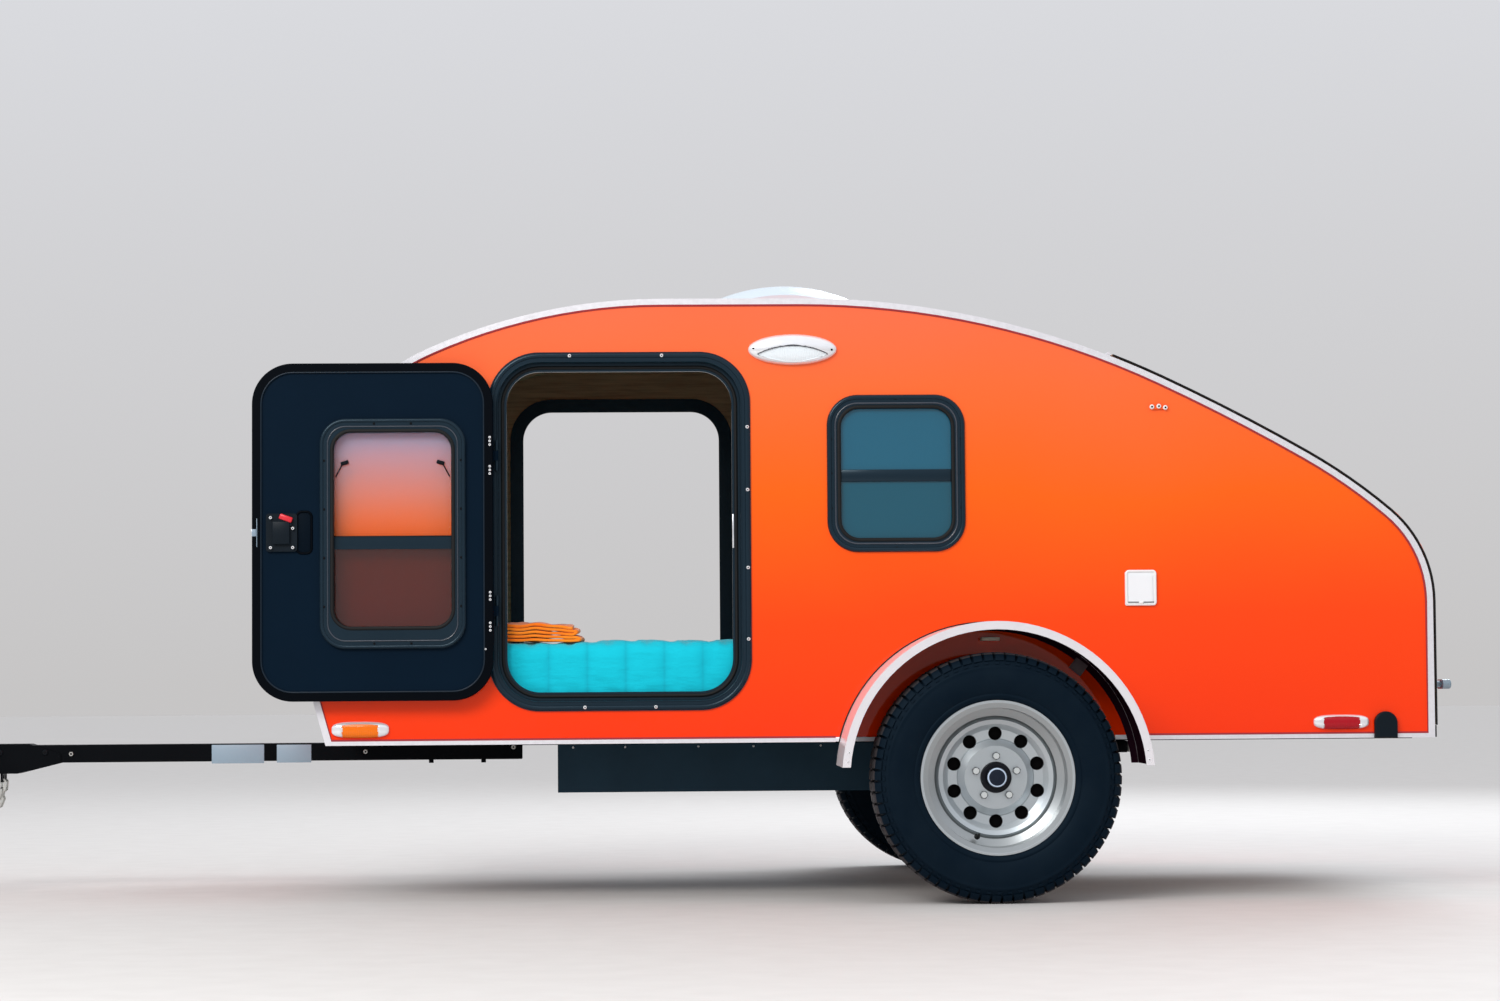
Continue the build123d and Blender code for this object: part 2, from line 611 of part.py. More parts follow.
# Hatch, a thin skin over the whole width and an insulated core between the walls
SKIN = 3.0
HATCH_BOTTOM = 34.0
CORE_HALF = INNER_Y - 6.0
with BuildPart() as hatch_shell:
    for outer, inner, half in ((-GAP - SKIN, -GAP, BODY_HALF), (-GAP, WALL - 2, CORE_HALF)):
        with BuildSketch(side_plane(0)):
            body_outline(outer, HATCH_BOTTOM)
            body_outline(inner, -RUN_ON / 2, Mode.SUBTRACT)
            behind_hinge(HATCH_START, Mode.INTERSECT)
        extrude(amount=half, both=True)
save(hatch_shell, "hatch_shell")

# Hatch hinge, an aluminium extrusion on the roof with the pin, and a strip on the hatch
HINGE_R = 6.0
STRIP = 42.0
with BuildPart() as hatch_hinge:
    with BuildSketch(HINGE_PLANE):
        with Locations((0, HINGE_LIFT)):
            Circle(HINGE_R)
        with Locations((0, -TRIM)):
            Rectangle(STRIP, 4, align=(Align.MAX, Align.MIN))
            Rectangle(4, HINGE_LIFT + TRIM, align=(Align.MAX, Align.MIN))
    extrude(amount=CORE_HALF, both=True)
save(hatch_hinge, "hatch_hinge")

# Hatch fittings: hinge strip, T-handle latches and the brackets of the gas struts
HATCH_TOP_FACE = GAP + SKIN
with BuildPart() as hatch_strip:
    with BuildSketch(HINGE_PLANE):
        with Locations((HATCH_START, HATCH_TOP_FACE)):
            Rectangle(STRIP - HATCH_START, SKIN, align=(Align.MIN, Align.MIN))
    extrude(amount=CORE_HALF, both=True)
save(hatch_strip, "hatch_strip")

HATCH_REAR = BODY_REAR + HATCH_TOP_FACE
LATCH_Y = 700.0
LATCH_UP = 145.0
REAR_TIP = 3202.0
with BuildPart() as hatch_latches:
    with BuildSketch(Plane.YZ.offset(x_at(HATCH_REAR))):
        with Locations((-LATCH_Y, z_at(LATCH_UP))):
            RectangleRounded(60, 74, 10)
    extrude(amount=6)
    with BuildSketch(Plane.YZ.offset(x_at(HATCH_REAR) + 6)):
        with Locations((-LATCH_Y, z_at(LATCH_UP))):
            Circle(9)
    extrude(amount=22)
    with BuildSketch(Plane.YZ.offset(x_at(HATCH_REAR) + 22)):
        with Locations((-LATCH_Y, z_at(LATCH_UP))):
            SlotOverall(78, 26)
    extrude(amount=REAR_TIP - HATCH_REAR - 22)
    fillet(hatch_latches.edges().group_by(Axis.X)[-1], 6)
save_both(hatch_latches, "hatch_latches")

with BuildPart() as tail_lights:
    with BuildSketch(Plane.YZ.offset(x_at(HATCH_REAR))):
        with Locations((-520, z_at(LATCH_UP))):
            SlotOverall(170, 62)
    extrude(amount=8)
    with BuildSketch(Plane.YZ.offset(x_at(HATCH_REAR) + 8)):
        with Locations((-520, z_at(LATCH_UP))):
            SlotOverall(150, 46)
    extrude(amount=10, taper=20)
save_both(tail_lights, "tail_lights")

# Gas struts, a cylinder pinned to each wall and a rod that reaches to the hatch
STRUT_Y = 716.0
STRUT_BASE = (2300.0, 950.0)          # station and height of the pin on the wall
STRUT_EYE = (2760.0, 743.0)           # and of the rod's eye, with the hatch shut
CYLINDER_R = 9.0
CYLINDER_LENGTH = 330.0
CYLINDER_BORE_FROM = 118.0
ROD_R = 4.5
ROD_FROM = 130.0
strut_base = Vector(x_at(STRUT_BASE[0]), -STRUT_Y, z_at(STRUT_BASE[1]))
strut_eye = Vector(x_at(STRUT_EYE[0]), -STRUT_Y, z_at(STRUT_EYE[1]))
strut_line = (strut_eye - strut_base).normalized()
strut_length = (strut_eye - strut_base).length


def strut_plane(distance):
    """Plane across the strut, this far from its base pin."""
    return Plane(origin=strut_base + strut_line * distance, x_dir=(0, 1, 0), z_dir=strut_line)


EYE_R = 10.0
STUD_R = 5.0
with BuildPart() as strut_studs:
    with BuildSketch(side_plane(-INNER_Y)):
        with Locations((strut_base.X, strut_base.Z)):
            Circle(STUD_R)
    extrude(amount=-(INNER_Y - STRUT_Y + 7))
save_both(strut_studs, "strut_studs")

with BuildPart() as strut_cylinder:
    with BuildSketch(strut_plane(EYE_R - 2)):
        Circle(CYLINDER_R)
    extrude(amount=CYLINDER_LENGTH - EYE_R + 2)
    with BuildSketch(strut_plane(CYLINDER_BORE_FROM)):
        Circle(ROD_R + 0.3)
    extrude(amount=CYLINDER_LENGTH, mode=Mode.SUBTRACT)
    with BuildSketch(side_plane(-STRUT_Y + 5)):
        with Locations((strut_base.X, strut_base.Z)):
            Circle(EYE_R)
    extrude(amount=10)
    with BuildSketch(side_plane(-STRUT_Y + 5)):
        with Locations((strut_base.X, strut_base.Z)):
            Circle(STUD_R + 0.1)
    extrude(amount=10, mode=Mode.SUBTRACT)
save_pair(strut_cylinder, "strut_cylinder")

with BuildPart() as strut_rod:
    with BuildSketch(strut_plane(ROD_FROM)):
        Circle(ROD_R)
    extrude(amount=strut_length - ROD_FROM)
    with BuildSketch(side_plane(-STRUT_Y + 5)):
        with Locations((strut_eye.X, strut_eye.Z)):
            Circle(EYE_R)
    extrude(amount=10)
    with BuildSketch(side_plane(-STRUT_Y + 10)):
        with Locations((strut_eye.X, strut_eye.Z)):
            Circle(STUD_R)
    extrude(amount=6)
save_pair(strut_rod, "strut_rod")

BRACKET_Y = 705.0
with BuildPart() as hatch_brackets:
    with BuildSketch(side_plane(-BRACKET_Y + 6)):
        with Locations((strut_eye.X, strut_eye.Z)):
            Circle(12)
            Rectangle(24, 60, align=(Align.CENTER, Align.MIN))
        body_outline(WALL - 2, 0, Mode.INTERSECT)
    extrude(amount=6)
save_both(hatch_brackets, "hatch_brackets")

# Roof vent, a base frame over the cut-out and a domed lid hinged at its front
VENT_OUT = 404.0
VENT_BASE_UP = 26.0
VENT_LID = 412.0
VENT_LID_LOW = 1246.0
VENT_TOP_Z = 1758.0
DOME_R = 500.0
VENT_PIN_STATION = VENT_STATION - VENT_LID / 2 - 8
VENT_PIN_R = 3.5
VENT_BARREL_R = 6.5
VENT_KNUCKLE = 32.0      # half length of the lid's hinge barrel
VENT_LUG_T = 8.0
VENT_LUG_TALL = 18.0
VENT_LUG_REACH = 15.0    # from the pin back to the base frame
with BuildPart() as vent_base:
    with BuildSketch(Plane.XY.offset(z_at(ROOF_TOP) - WALL)):
        with Locations((x_at(VENT_STATION), 0)):
            RectangleRounded(VENT_OUT, VENT_OUT, 40)
    extrude(amount=WALL + VENT_BASE_UP - TRIM)
    with BuildSketch(side_plane(0)):
        body_outline(TRIM)
    extrude(amount=FAR / 4, both=True, mode=Mode.SUBTRACT)
    with BuildSketch(Plane.XY.offset(z_at(ROOF_TOP) - WALL - 14)):
        with Locations((x_at(VENT_STATION), 0)):
            RectangleRounded(VENT_CUT - 1, VENT_CUT - 1, 19)
    extrude(amount=WALL + 20)
    with BuildSketch(Plane.XY.offset(z_at(ROOF_TOP) - 3 * WALL)):
        with Locations((x_at(VENT_STATION), 0)):
            RectangleRounded(VENT_CUT - 10, VENT_CUT - 10, 15)
    extrude(amount=6 * WALL, mode=Mode.SUBTRACT)
    with Locations((x_at(VENT_PIN_STATION), 0, z_at(VENT_LID_LOW))):
        Cylinder(VENT_PIN_R, 2 * VENT_KNUCKLE + 2 * VENT_LUG_T + 4, rotation=(90, 0, 0))
    for lug_y in (-VENT_KNUCKLE - VENT_LUG_T / 2 - 2, VENT_KNUCKLE + VENT_LUG_T / 2 + 2):
        with Locations((x_at(VENT_PIN_STATION), lug_y, z_at(VENT_LID_LOW))):
            Cylinder(VENT_BARREL_R, VENT_LUG_T, rotation=(90, 0, 0))
            with Locations((-VENT_BARREL_R, 0, -2)):
                Box(VENT_BARREL_R + VENT_LUG_REACH, VENT_LUG_T, VENT_LUG_TALL,
                    align=(Align.MIN, Align.CENTER, Align.MAX))
save(vent_base, "vent_base")

LID_T = 4.0


def dome(side, radius, corner):
    """Square with round corners, standing under a part of a sphere."""
    with BuildPart() as block:
        with BuildSketch(Plane.XY.offset(z_at(VENT_LID_LOW))):
            with Locations((x_at(VENT_STATION), 0)):
                RectangleRounded(side, side, corner)
        extrude(amount=150)
        with Locations((x_at(VENT_STATION), 0, VENT_TOP_Z - DOME_R)):
            Sphere(radius, mode=Mode.INTERSECT)
    return block.part


with BuildPart() as vent_lid:
    add(dome(VENT_LID, DOME_R, 60))
    add(dome(VENT_LID - 2 * LID_T, DOME_R - LID_T, 60 - LID_T), mode=Mode.SUBTRACT)
    with Locations((x_at(VENT_PIN_STATION), 0, z_at(VENT_LID_LOW))):
        Cylinder(VENT_BARREL_R, 2 * VENT_KNUCKLE, rotation=(90, 0, 0))
        Box(VENT_BARREL_R + LID_T, 2 * VENT_KNUCKLE, LID_T, align=(Align.MIN, Align.CENTER, Align.MIN))
        Cylinder(VENT_PIN_R + 0.2, 3 * VENT_KNUCKLE, rotation=(90, 0, 0), mode=Mode.SUBTRACT)
save(vent_lid, "vent_lid")

# Tongue, a straight steel beam with a doubler sleeve at its front
TONGUE_Z = RAIL_Z - RAIL
TONGUE_WIDE = 76.0
TONGUE_REAR = 624.0
TONGUE_FRONT = -1060.0
TAB_FRONT = 540.0        # a flat tab on the beam's rear end runs on to the chassis
TAB_REAR = 664.0
TAB_T = 5.0
PIN_R = 7.0
PIN_DOWN = 10.0
PIN_STATIONS = [358.0, 511.0]
with BuildPart() as tongue_beam:
    with Locations((x_at(TONGUE_FRONT), 0, TONGUE_Z)):
        hollow_bar(TONGUE_REAR - TONGUE_FRONT, TONGUE_WIDE, RAIL, RAIL_WALL)
    with Locations((x_at(TAB_FRONT), 0, RAIL_Z)):
        Box(TAB_REAR - TAB_FRONT, TONGUE_WIDE, TAB_T, align=(Align.MIN, Align.CENTER, Align.MAX))
    for station in PIN_STATIONS:
        with Locations((x_at(station), 0, TONGUE_Z + 1)):
            Cylinder(PIN_R, PIN_DOWN + 1, align=(Align.CENTER, Align.CENTER, Align.MAX))
save(tongue_beam, "tongue_beam")

CHAIN_Y = 22.0
CHAIN_REAR = -887.0      # station where the chains hang from the sleeve
CHAIN_FRONT = -1118.0    # and where they are hooked up below the coupler
EYE_HOLE = 8.0
EYE_PLATE = 6.0
EYE_DOWN = 12.0          # from the underside of the carrier to the hole
EYE_EDGE = 13.0          # from the hole down to the plate's edge


def chain_eyes(station, underside):
    """Plate with two holes under the tongue or coupler."""
    with Locations((x_at(station), 0, underside)):
        Box(EYE_PLATE, 72, EYE_DOWN + EYE_EDGE, align=(Align.CENTER, Align.CENTER, Align.MAX))
    with Locations((x_at(station), -CHAIN_Y, underside - EYE_DOWN),
                   (x_at(station), CHAIN_Y, underside - EYE_DOWN)):
        Cylinder(EYE_HOLE, 4 * EYE_PLATE, rotation=(0, 90, 0), mode=Mode.SUBTRACT)


SLEEVE_T = 4.0
SLEEVE_FRONT = -930.0
SLEEVE_BEND = -841.0     # its sides taper up from here to the beam
SLEEVE_PLATE = -808.0    # its top plate ends here
SLEEVE_REAR = -715.0
SLEEVE_LOW = 342.0
with BuildPart() as tongue_sleeve:
    with BuildSketch(side_plane(TONGUE_WIDE / 2 + SLEEVE_T)):
        with BuildLine():
            Polyline((x_at(SLEEVE_FRONT), SLEEVE_LOW), (x_at(SLEEVE_BEND), SLEEVE_LOW),
                     (x_at(SLEEVE_REAR), TONGUE_Z), (x_at(SLEEVE_REAR), TONGUE_Z + RAIL / 2),
                     (x_at(SLEEVE_PLATE), RAIL_Z + SLEEVE_T),
                     (x_at(SLEEVE_FRONT), RAIL_Z + SLEEVE_T), close=True)
        make_face()
    extrude(amount=TONGUE_WIDE + 2 * SLEEVE_T)
    with Locations((x_at(SLEEVE_FRONT), 0, SLEEVE_LOW + SLEEVE_T)):
        Box(SLEEVE_REAR - SLEEVE_FRONT, TONGUE_WIDE, RAIL_Z - SLEEVE_LOW - SLEEVE_T,
            align=(Align.MIN, Align.CENTER, Align.MIN), mode=Mode.SUBTRACT)
    chain_eyes(CHAIN_REAR, SLEEVE_LOW)
save(tongue_sleeve, "tongue_sleeve")

# Coupler for a 50.8 mm ball, a folded steel hood over the front of the tongue
COUPLER_TIP = -1200.0
COUPLER_REAR = -960.0
COUPLER_T = 4.0
COUPLER_HALF = TONGUE_WIDE / 2 + COUPLER_T
BALL_STATION = -1158.0
SOCKET_R = 25.75
SOCKET_DEEP = 22.0
COUPLER_LOW = TONGUE_Z
COUPLER_TOP = RAIL_Z + COUPLER_T
with BuildPart() as coupler:
    with BuildSketch(Plane.XY.offset(COUPLER_LOW)):
        with BuildLine():
            nose = BALL_STATION
            Line((x_at(COUPLER_REAR), -COUPLER_HALF), (x_at(nose), -COUPLER_HALF))
            ThreePointArc((x_at(nose), -COUPLER_HALF), (x_at(COUPLER_TIP), 0),
                          (x_at(nose), COUPLER_HALF))
            Line((x_at(nose), COUPLER_HALF), (x_at(COUPLER_REAR), COUPLER_HALF))
            Line((x_at(COUPLER_REAR), COUPLER_HALF), (x_at(COUPLER_REAR), -COUPLER_HALF))
        make_face()
    extrude(amount=COUPLER_TOP - COUPLER_LOW)
    fillet(coupler.edges().group_by(Axis.Z)[-1], 3)
    with Locations((x_at(TONGUE_FRONT) - 2, 0, TONGUE_Z)):
        Box(400, TONGUE_WIDE, RAIL, align=(Align.MIN, Align.CENTER, Align.MIN),
            mode=Mode.SUBTRACT)
    with Locations((x_at(BALL_STATION), 0, COUPLER_LOW)):
        Cylinder(SOCKET_R, SOCKET_DEEP, align=(Align.CENTER, Align.CENTER, Align.MIN),
                 mode=Mode.SUBTRACT)
    with Locations((x_at(BALL_STATION), 0, COUPLER_LOW + SOCKET_DEEP)):
        Sphere(SOCKET_R, mode=Mode.SUBTRACT)
    with Locations((x_at(BALL_STATION) + 34, 0, COUPLER_TOP)):
        Box(110, 30, 14, align=(Align.MIN, Align.CENTER, Align.MIN))
        Cylinder(15, 22, align=(Align.CENTER, Align.CENTER, Align.MIN))
    with Locations((x_at(BALL_STATION) + 130, 0, COUPLER_TOP)):
        Box(40, 24, 30, align=(Align.MIN, Align.CENTER, Align.MIN))
    chain_eyes(CHAIN_FRONT, COUPLER_LOW)
save(coupler, "coupler")

# Safety chains, two hanging loops of links from the sleeve's eyes to the coupler's
LINK_WIRE = 5.5
LINK_IN = 28.0           # clear length inside a link
LINK_WIDE = 10.0         # clear width inside a link
LINKS = 17               # an odd number, so that both end links pass through their eyes
CHAIN_DROP = 150.0
CHAIN_STEPS = 360
LINK_BELOW_EYE = 8.2     # the chain's line starts this far below the centre of its eye


def chain_line():
    """Points along half an ellipse that hangs between the two eyes."""
    rear_z = SLEEVE_LOW - EYE_DOWN - LINK_BELOW_EYE
    front_z = COUPLER_LOW - EYE_DOWN - LINK_BELOW_EYE
    middle_x = x_at((CHAIN_REAR + CHAIN_FRONT) / 2)
    reach = (CHAIN_REAR - CHAIN_FRONT) / 2
    points = []
    for step in range(CHAIN_STEPS + 1):
        angle = pi * step / CHAIN_STEPS
        level = rear_z + (front_z - rear_z) * step / CHAIN_STEPS
        points.append(Vector(middle_x + reach * cos(angle), 0, level - CHAIN_DROP * sin(angle)))
    return points


def chain_places():
    """Middle and direction of each link, evenly spaced along the chain's line."""
    line = chain_line()
    pieces = list(zip(line, line[1:]))
    pitch = sum((second - first).length for first, second in pieces) / LINKS
    print(f"chain pitch {pitch:.1f}, clear length inside a link {LINK_IN}")
    places = []
    run = 0.0
    for first, second in pieces:
        run += (second - first).length
        if run >= pitch * (len(places) + 0.5):
            places.append((second, (second - first).normalized()))
    return places


with BuildPart() as safety_chains:
    for number, (middle, direction) in enumerate(chain_places()):
        for chain_y in (-CHAIN_Y, CHAIN_Y):
            across = Vector(0, 1, 0)
            if number % 2 == 0:
                across = direction.cross(across)
            link_plane = Plane(origin=middle + Vector(0, chain_y, 0), x_dir=direction,
                               z_dir=direction.cross(across))
            with BuildSketch(link_plane.offset(-LINK_WIRE / 2)):
                with BuildSketch(mode=Mode.PRIVATE) as outer_link:
                    Rectangle(LINK_IN + 2 * LINK_WIRE, LINK_WIDE + 2 * LINK_WIRE)
                    chamfer(outer_link.vertices(), 6)
                with BuildSketch(mode=Mode.PRIVATE) as inner_link:
                    Rectangle(LINK_IN, LINK_WIDE)
                    chamfer(inner_link.vertices(), 2)
                add(outer_link.sketch_local)
                add(inner_link.sketch_local, mode=Mode.SUBTRACT)
            extrude(amount=LINK_WIRE)
save(safety_chains, "safety_chains")

# Tongue jack, swings up beside the tongue for towing
JACK_STATION = -985.0
JACK_Y = -125.0
JACK_PIVOT_Z = 398.0
JACK_R = 30.0
JACK_TUBE_T = 4.0
JACK_LOW = 292.0
JACK_TOP = 760.0
LEG_R = 24.0
LEG_TOP = 490.0
FOOT_R = 74.0
FOOT_T = 8.0
PIVOT_R = 16.0
PIVOT_DISC = 42.0
bracket_face = COUPLER_HALF + 8.0
with BuildPart() as jack_bracket:
    with BuildSketch(side_plane(-COUPLER_HALF)):
        with Locations((x_at(JACK_STATION), JACK_PIVOT_Z)):
            Rectangle(120, 2 * PIVOT_DISC - 20)
    extrude(amount=4)
    with BuildSketch(side_plane(-COUPLER_HALF)):
        with Locations((x_at(JACK_STATION), JACK_PIVOT_Z)):
            Circle(PIVOT_DISC)
    extrude(amount=8)
    with BuildSketch(side_plane(-bracket_face)):
        with Locations((x_at(JACK_STATION), JACK_PIVOT_Z)):
            Circle(PIVOT_R)
    extrude(amount=30)
save(jack_bracket, "jack_bracket")

with BuildPart() as jack_tube:
    with Locations((x_at(JACK_STATION), JACK_Y, JACK_LOW)):
        Cylinder(JACK_R, JACK_TOP - JACK_LOW, align=(Align.CENTER, Align.CENTER, Align.MIN))
    with BuildSketch(side_plane(JACK_Y + JACK_R + 12)):
        with Locations((x_at(JACK_STATION), JACK_PIVOT_Z)):
            Circle(PIVOT_DISC)
    extrude(amount=8)
    with BuildSketch(side_plane(JACK_Y + JACK_R + 12)):
        with Locations((x_at(JACK_STATION), JACK_PIVOT_Z)):
            Circle(24)
    extrude(amount=24)
    with BuildSketch(side_plane(-bracket_face)):
        with Locations((x_at(JACK_STATION), JACK_PIVOT_Z)):
            Circle(PIVOT_R + 0.1)
    extrude(amount=31, mode=Mode.SUBTRACT)
    with Locations((x_at(JACK_STATION), JACK_Y, JACK_LOW - 1)):
        Cylinder(JACK_R - JACK_TUBE_T, JACK_TOP - JACK_LOW - 20,
                 align=(Align.CENTER, Align.CENTER, Align.MIN), mode=Mode.SUBTRACT)
    with Locations((x_at(JACK_STATION), JACK_Y, JACK_TOP)):
        Cylinder(34, 16, align=(Align.CENTER, Align.CENTER, Align.MIN))
        Cylinder(8, 40, align=(Align.CENTER, Align.CENTER, Align.MIN))
        with Locations((0, 0, 32)):
            Box(130, 18, 8, align=(Align.MAX, Align.CENTER, Align.MIN))
        with Locations((-120, 0, 40)):
            Cylinder(11, 90, align=(Align.CENTER, Align.CENTER, Align.MIN))
save(jack_tube, "jack_tube")

with BuildPart() as jack_leg:
    with Locations((x_at(JACK_STATION), JACK_Y, 0)):
        Cylinder(FOOT_R, FOOT_T, align=(Align.CENTER, Align.CENTER, Align.MIN))
        Cylinder(LEG_R, LEG_TOP, align=(Align.CENTER, Align.CENTER, Align.MIN))
        with Locations((0, 0, FOOT_T)):
            Cone(LEG_R + 14, LEG_R, 30, align=(Align.CENTER, Align.CENTER, Align.MIN))
save(jack_leg, "jack_leg")

# Underfloor box for the battery and water, hung below the crossmembers
BOX_FRONT = 737.0
BOX_REAR = 1700.0
BOX_HALF = 400.0
BOX_LOW = 285.0
with BuildPart() as underfloor_box:
    with Locations((x_at(BOX_FRONT), 0, BOX_LOW)):
        Box(BOX_REAR - BOX_FRONT, 2 * BOX_HALF, RAIL_Z - BOX_LOW,
            align=(Align.MIN, Align.CENTER, Align.MIN))
        with Locations((4, 0, 4)):
            Box(BOX_REAR - BOX_FRONT - 8, 2 * BOX_HALF - 8, RAIL_Z - BOX_LOW - 8,
                align=(Align.MIN, Align.CENTER, Align.MIN), mode=Mode.SUBTRACT)
    fillet(underfloor_box.edges().filter_by(Axis.X).group_by(Axis.Z)[0], 3)
save(underfloor_box, "underfloor_box")

# Torsion axle: a square beam on two brackets, with trailing arms and spindles
ARM_BACK = 140.0
ARM_DROP = 46.0
BEAM = 70.0
BEAM_HALF = 700.0
ARM_T = 24.0
SPINDLE_R = 16.0
beam_x = x_at(WHEEL_STATION - ARM_BACK)
beam_z = WHEEL_Z + ARM_DROP
with BuildPart() as axle_beam:
    with Locations((beam_x, 0, beam_z)):
        Box(BEAM, 2 * BEAM_HALF, BEAM)
        Box(BEAM - 12, 2 * BEAM_HALF, BEAM - 12, mode=Mode.SUBTRACT)
    with BuildSketch(side_plane(-RAIL_Y - 30)):
        with Locations((beam_x, beam_z)):
            Rectangle(BEAM + 90, RAIL_Z - beam_z, align=(Align.CENTER, Align.MIN))
            Rectangle(BEAM, BEAM, mode=Mode.SUBTRACT)
    extrude(amount=6)
    mirror(about=Plane.XZ)
save(axle_beam, "axle_beam")

WHEEL_Y = 937.0
with BuildPart() as wheel_arms:
    with BuildSketch(side_plane(-BEAM_HALF)):
        with Locations((beam_x, beam_z)):
            Circle(36)
        with Locations((x_at(WHEEL_STATION), WHEEL_Z)):
            Circle(30)
        with Locations(((beam_x + x_at(WHEEL_STATION)) / 2, (beam_z + WHEEL_Z) / 2)):
            Rectangle(hypot(ARM_BACK, ARM_DROP), 44, rotation=-degrees(atan2(ARM_DROP, ARM_BACK)))
    extrude(amount=ARM_T)
    with BuildSketch(side_plane(-BEAM_HALF - ARM_T)):
        with Locations((x_at(WHEEL_STATION), WHEEL_Z)):
            Circle(SPINDLE_R)
    extrude(amount=WHEEL_Y - 8 - BEAM_HALF - ARM_T)
save_both(wheel_arms, "wheel_arms")

# Wheels. On the wheel plane, local x runs outboard from the middle of the tyre, local y is radius.
TYRE_R = 334.0
TYRE_HALF = 102.5
BEAD_R = 192.0
FLANGE_R = 207.5         # the sidewall starts just above the rim's flange
wheel_centre = Vector(x_at(WHEEL_STATION), -WHEEL_Y, WHEEL_Z)
WHEEL_PLANE = Plane(origin=wheel_centre, x_dir=(0, -1, 0), z_dir=(-1, 0, 0))
AXLE = Axis(wheel_centre, (0, 1, 0))
SIDE_R = 268.0           # radius where the sidewall is widest
TREAD_HALF = 84.0
SHOULDER_R = 322.0
with BuildPart() as tyre:
    with BuildSketch(WHEEL_PLANE):
        with BuildLine():
            Line((-80, BEAD_R), (80, BEAD_R))
            Line((80, BEAD_R), (80, FLANGE_R))
            ThreePointArc((80, FLANGE_R), (96, 232), (TYRE_HALF, SIDE_R))
            ThreePointArc((TYRE_HALF, SIDE_R), (98, 302), (TREAD_HALF, SHOULDER_R))
            Line((TREAD_HALF, SHOULDER_R), (TREAD_HALF - 18, TYRE_R))
            Line((TREAD_HALF - 18, TYRE_R), (-TREAD_HALF + 18, TYRE_R))
            Line((-TREAD_HALF + 18, TYRE_R), (-TREAD_HALF, SHOULDER_R))
            ThreePointArc((-TREAD_HALF, SHOULDER_R), (-98, 302), (-TYRE_HALF, SIDE_R))
            ThreePointArc((-TYRE_HALF, SIDE_R), (-96, 232), (-80, FLANGE_R))
            Line((-80, FLANGE_R), (-80, BEAD_R))
        make_face()
    revolve(axis=AXLE)
save_pair(tyre, "tyre")

# Columns of both tables: distance outboard, radius
BARREL = [
    (-88, 200), (-88, 206), (-82, 206), (-81, 191.5), (-46, 189), (-38, 169), (20, 169),
    (28, 189), (81, 191.5), (82, 206), (88, 206), (88, 200), (85, 186), (33, 184), (25, 164),
    (-43, 164), (-51, 184), (-85, 186),
]
DISC = [
    (22, 165), (34, 154), (30, 142), (20, 128), (18, 104), (34, 84), (34, 42), (28, 42),
    (28, 80), (12, 101), (14, 131), (22, 146), (24, 152), (14, 165),
]
HOLES = 10
HOLE_RING = 117.0
HOLE_R = 17.0
LUGS = 5
LUG_RING = 57.15
with BuildPart() as rim:
    for profile in (BARREL, DISC):
        with BuildSketch(WHEEL_PLANE):
            with BuildLine():
                Polyline(*profile, close=True)
            make_face()
        revolve(axis=AXLE)
    with BuildSketch(Plane.XZ.offset(WHEEL_Y)):
        with Locations((wheel_centre.X, wheel_centre.Z)):
            with PolarLocations(HOLE_RING, HOLES, start_angle=90):
                Circle(HOLE_R)
            with PolarLocations(LUG_RING, LUGS, start_angle=90):
                Circle(7)
    extrude(amount=60, mode=Mode.SUBTRACT)
save_pair(rim, "rim")

# Columns: distance outboard, radius
HUB = [(-35, 0), (-35, 36), (8, 36), (8, 68), (28, 68), (28, 41), (44, 40), (44, 29),
       (62, 28), (68, 24), (70, 0)]
with BuildPart() as hub:
    with BuildSketch(WHEEL_PLANE):
        with BuildLine():
            Polyline(*HUB, close=True)
        make_face()
    revolve(axis=AXLE)
    with BuildSketch(Plane.XZ.offset(WHEEL_Y + 28)):
        with Locations((wheel_centre.X, wheel_centre.Z)):
            with PolarLocations(LUG_RING, LUGS, start_angle=90):
                Circle(6.5)
    extrude(amount=28)
    with BuildSketch(Plane.XZ.offset(WHEEL_Y + 34)):
        with Locations((wheel_centre.X, wheel_centre.Z)):
            with PolarLocations(LUG_RING, LUGS, start_angle=90):
                RegularPolygon(11, 6)
    extrude(amount=16)
    with BuildSketch(Plane.XZ.offset(WHEEL_Y - 36)):
        with Locations((wheel_centre.X, wheel_centre.Z)):
            Circle(SPINDLE_R + 1)
    extrude(amount=32, mode=Mode.SUBTRACT)
save_pair(hub, "hub")

# Bedding: a mattress over the cabin floor and a folded throw on its front end
MATTRESS_TOP = 280.0
MATTRESS_FRONT = 150.0
with BuildPart() as mattress:
    with BuildSketch(side_plane(0)):
        body_outline(TRIM + WALL + 12, FLOOR_TOP + 1)
        band(FLOOR_TOP + 1, MATTRESS_TOP, 0, BULKHEAD_STATION - 10)
    extrude(amount=INNER_Y - 12, both=True)
save(mattress, "mattress")

with BuildPart() as throw:
    with Locations((x_at(690), -560, z_at(MATTRESS_TOP + 1))):
        Box(250, 300, 52, align=(Align.CENTER, Align.CENTER, Align.MIN))
    fillet(throw.edges(), 18)
save(throw, "throw")
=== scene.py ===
# %% [markdown]
# A two-berth teardrop trailer, dressed around its measured frame. The frame gives every panel, hinge
# and wheel at its real place in metres: +X runs to the rear, -Y is the side that the camera sees, and
# the ground is Z = 0. This notebook adds finishes, and the small pieces that the frame leaves plain.
# The frame could be rebuilt by hand, but loading it keeps every joint and clearance true.

# %% Load the frame
import math

import bmesh
import bpy
import numpy as np
from mathutils import Matrix, Vector


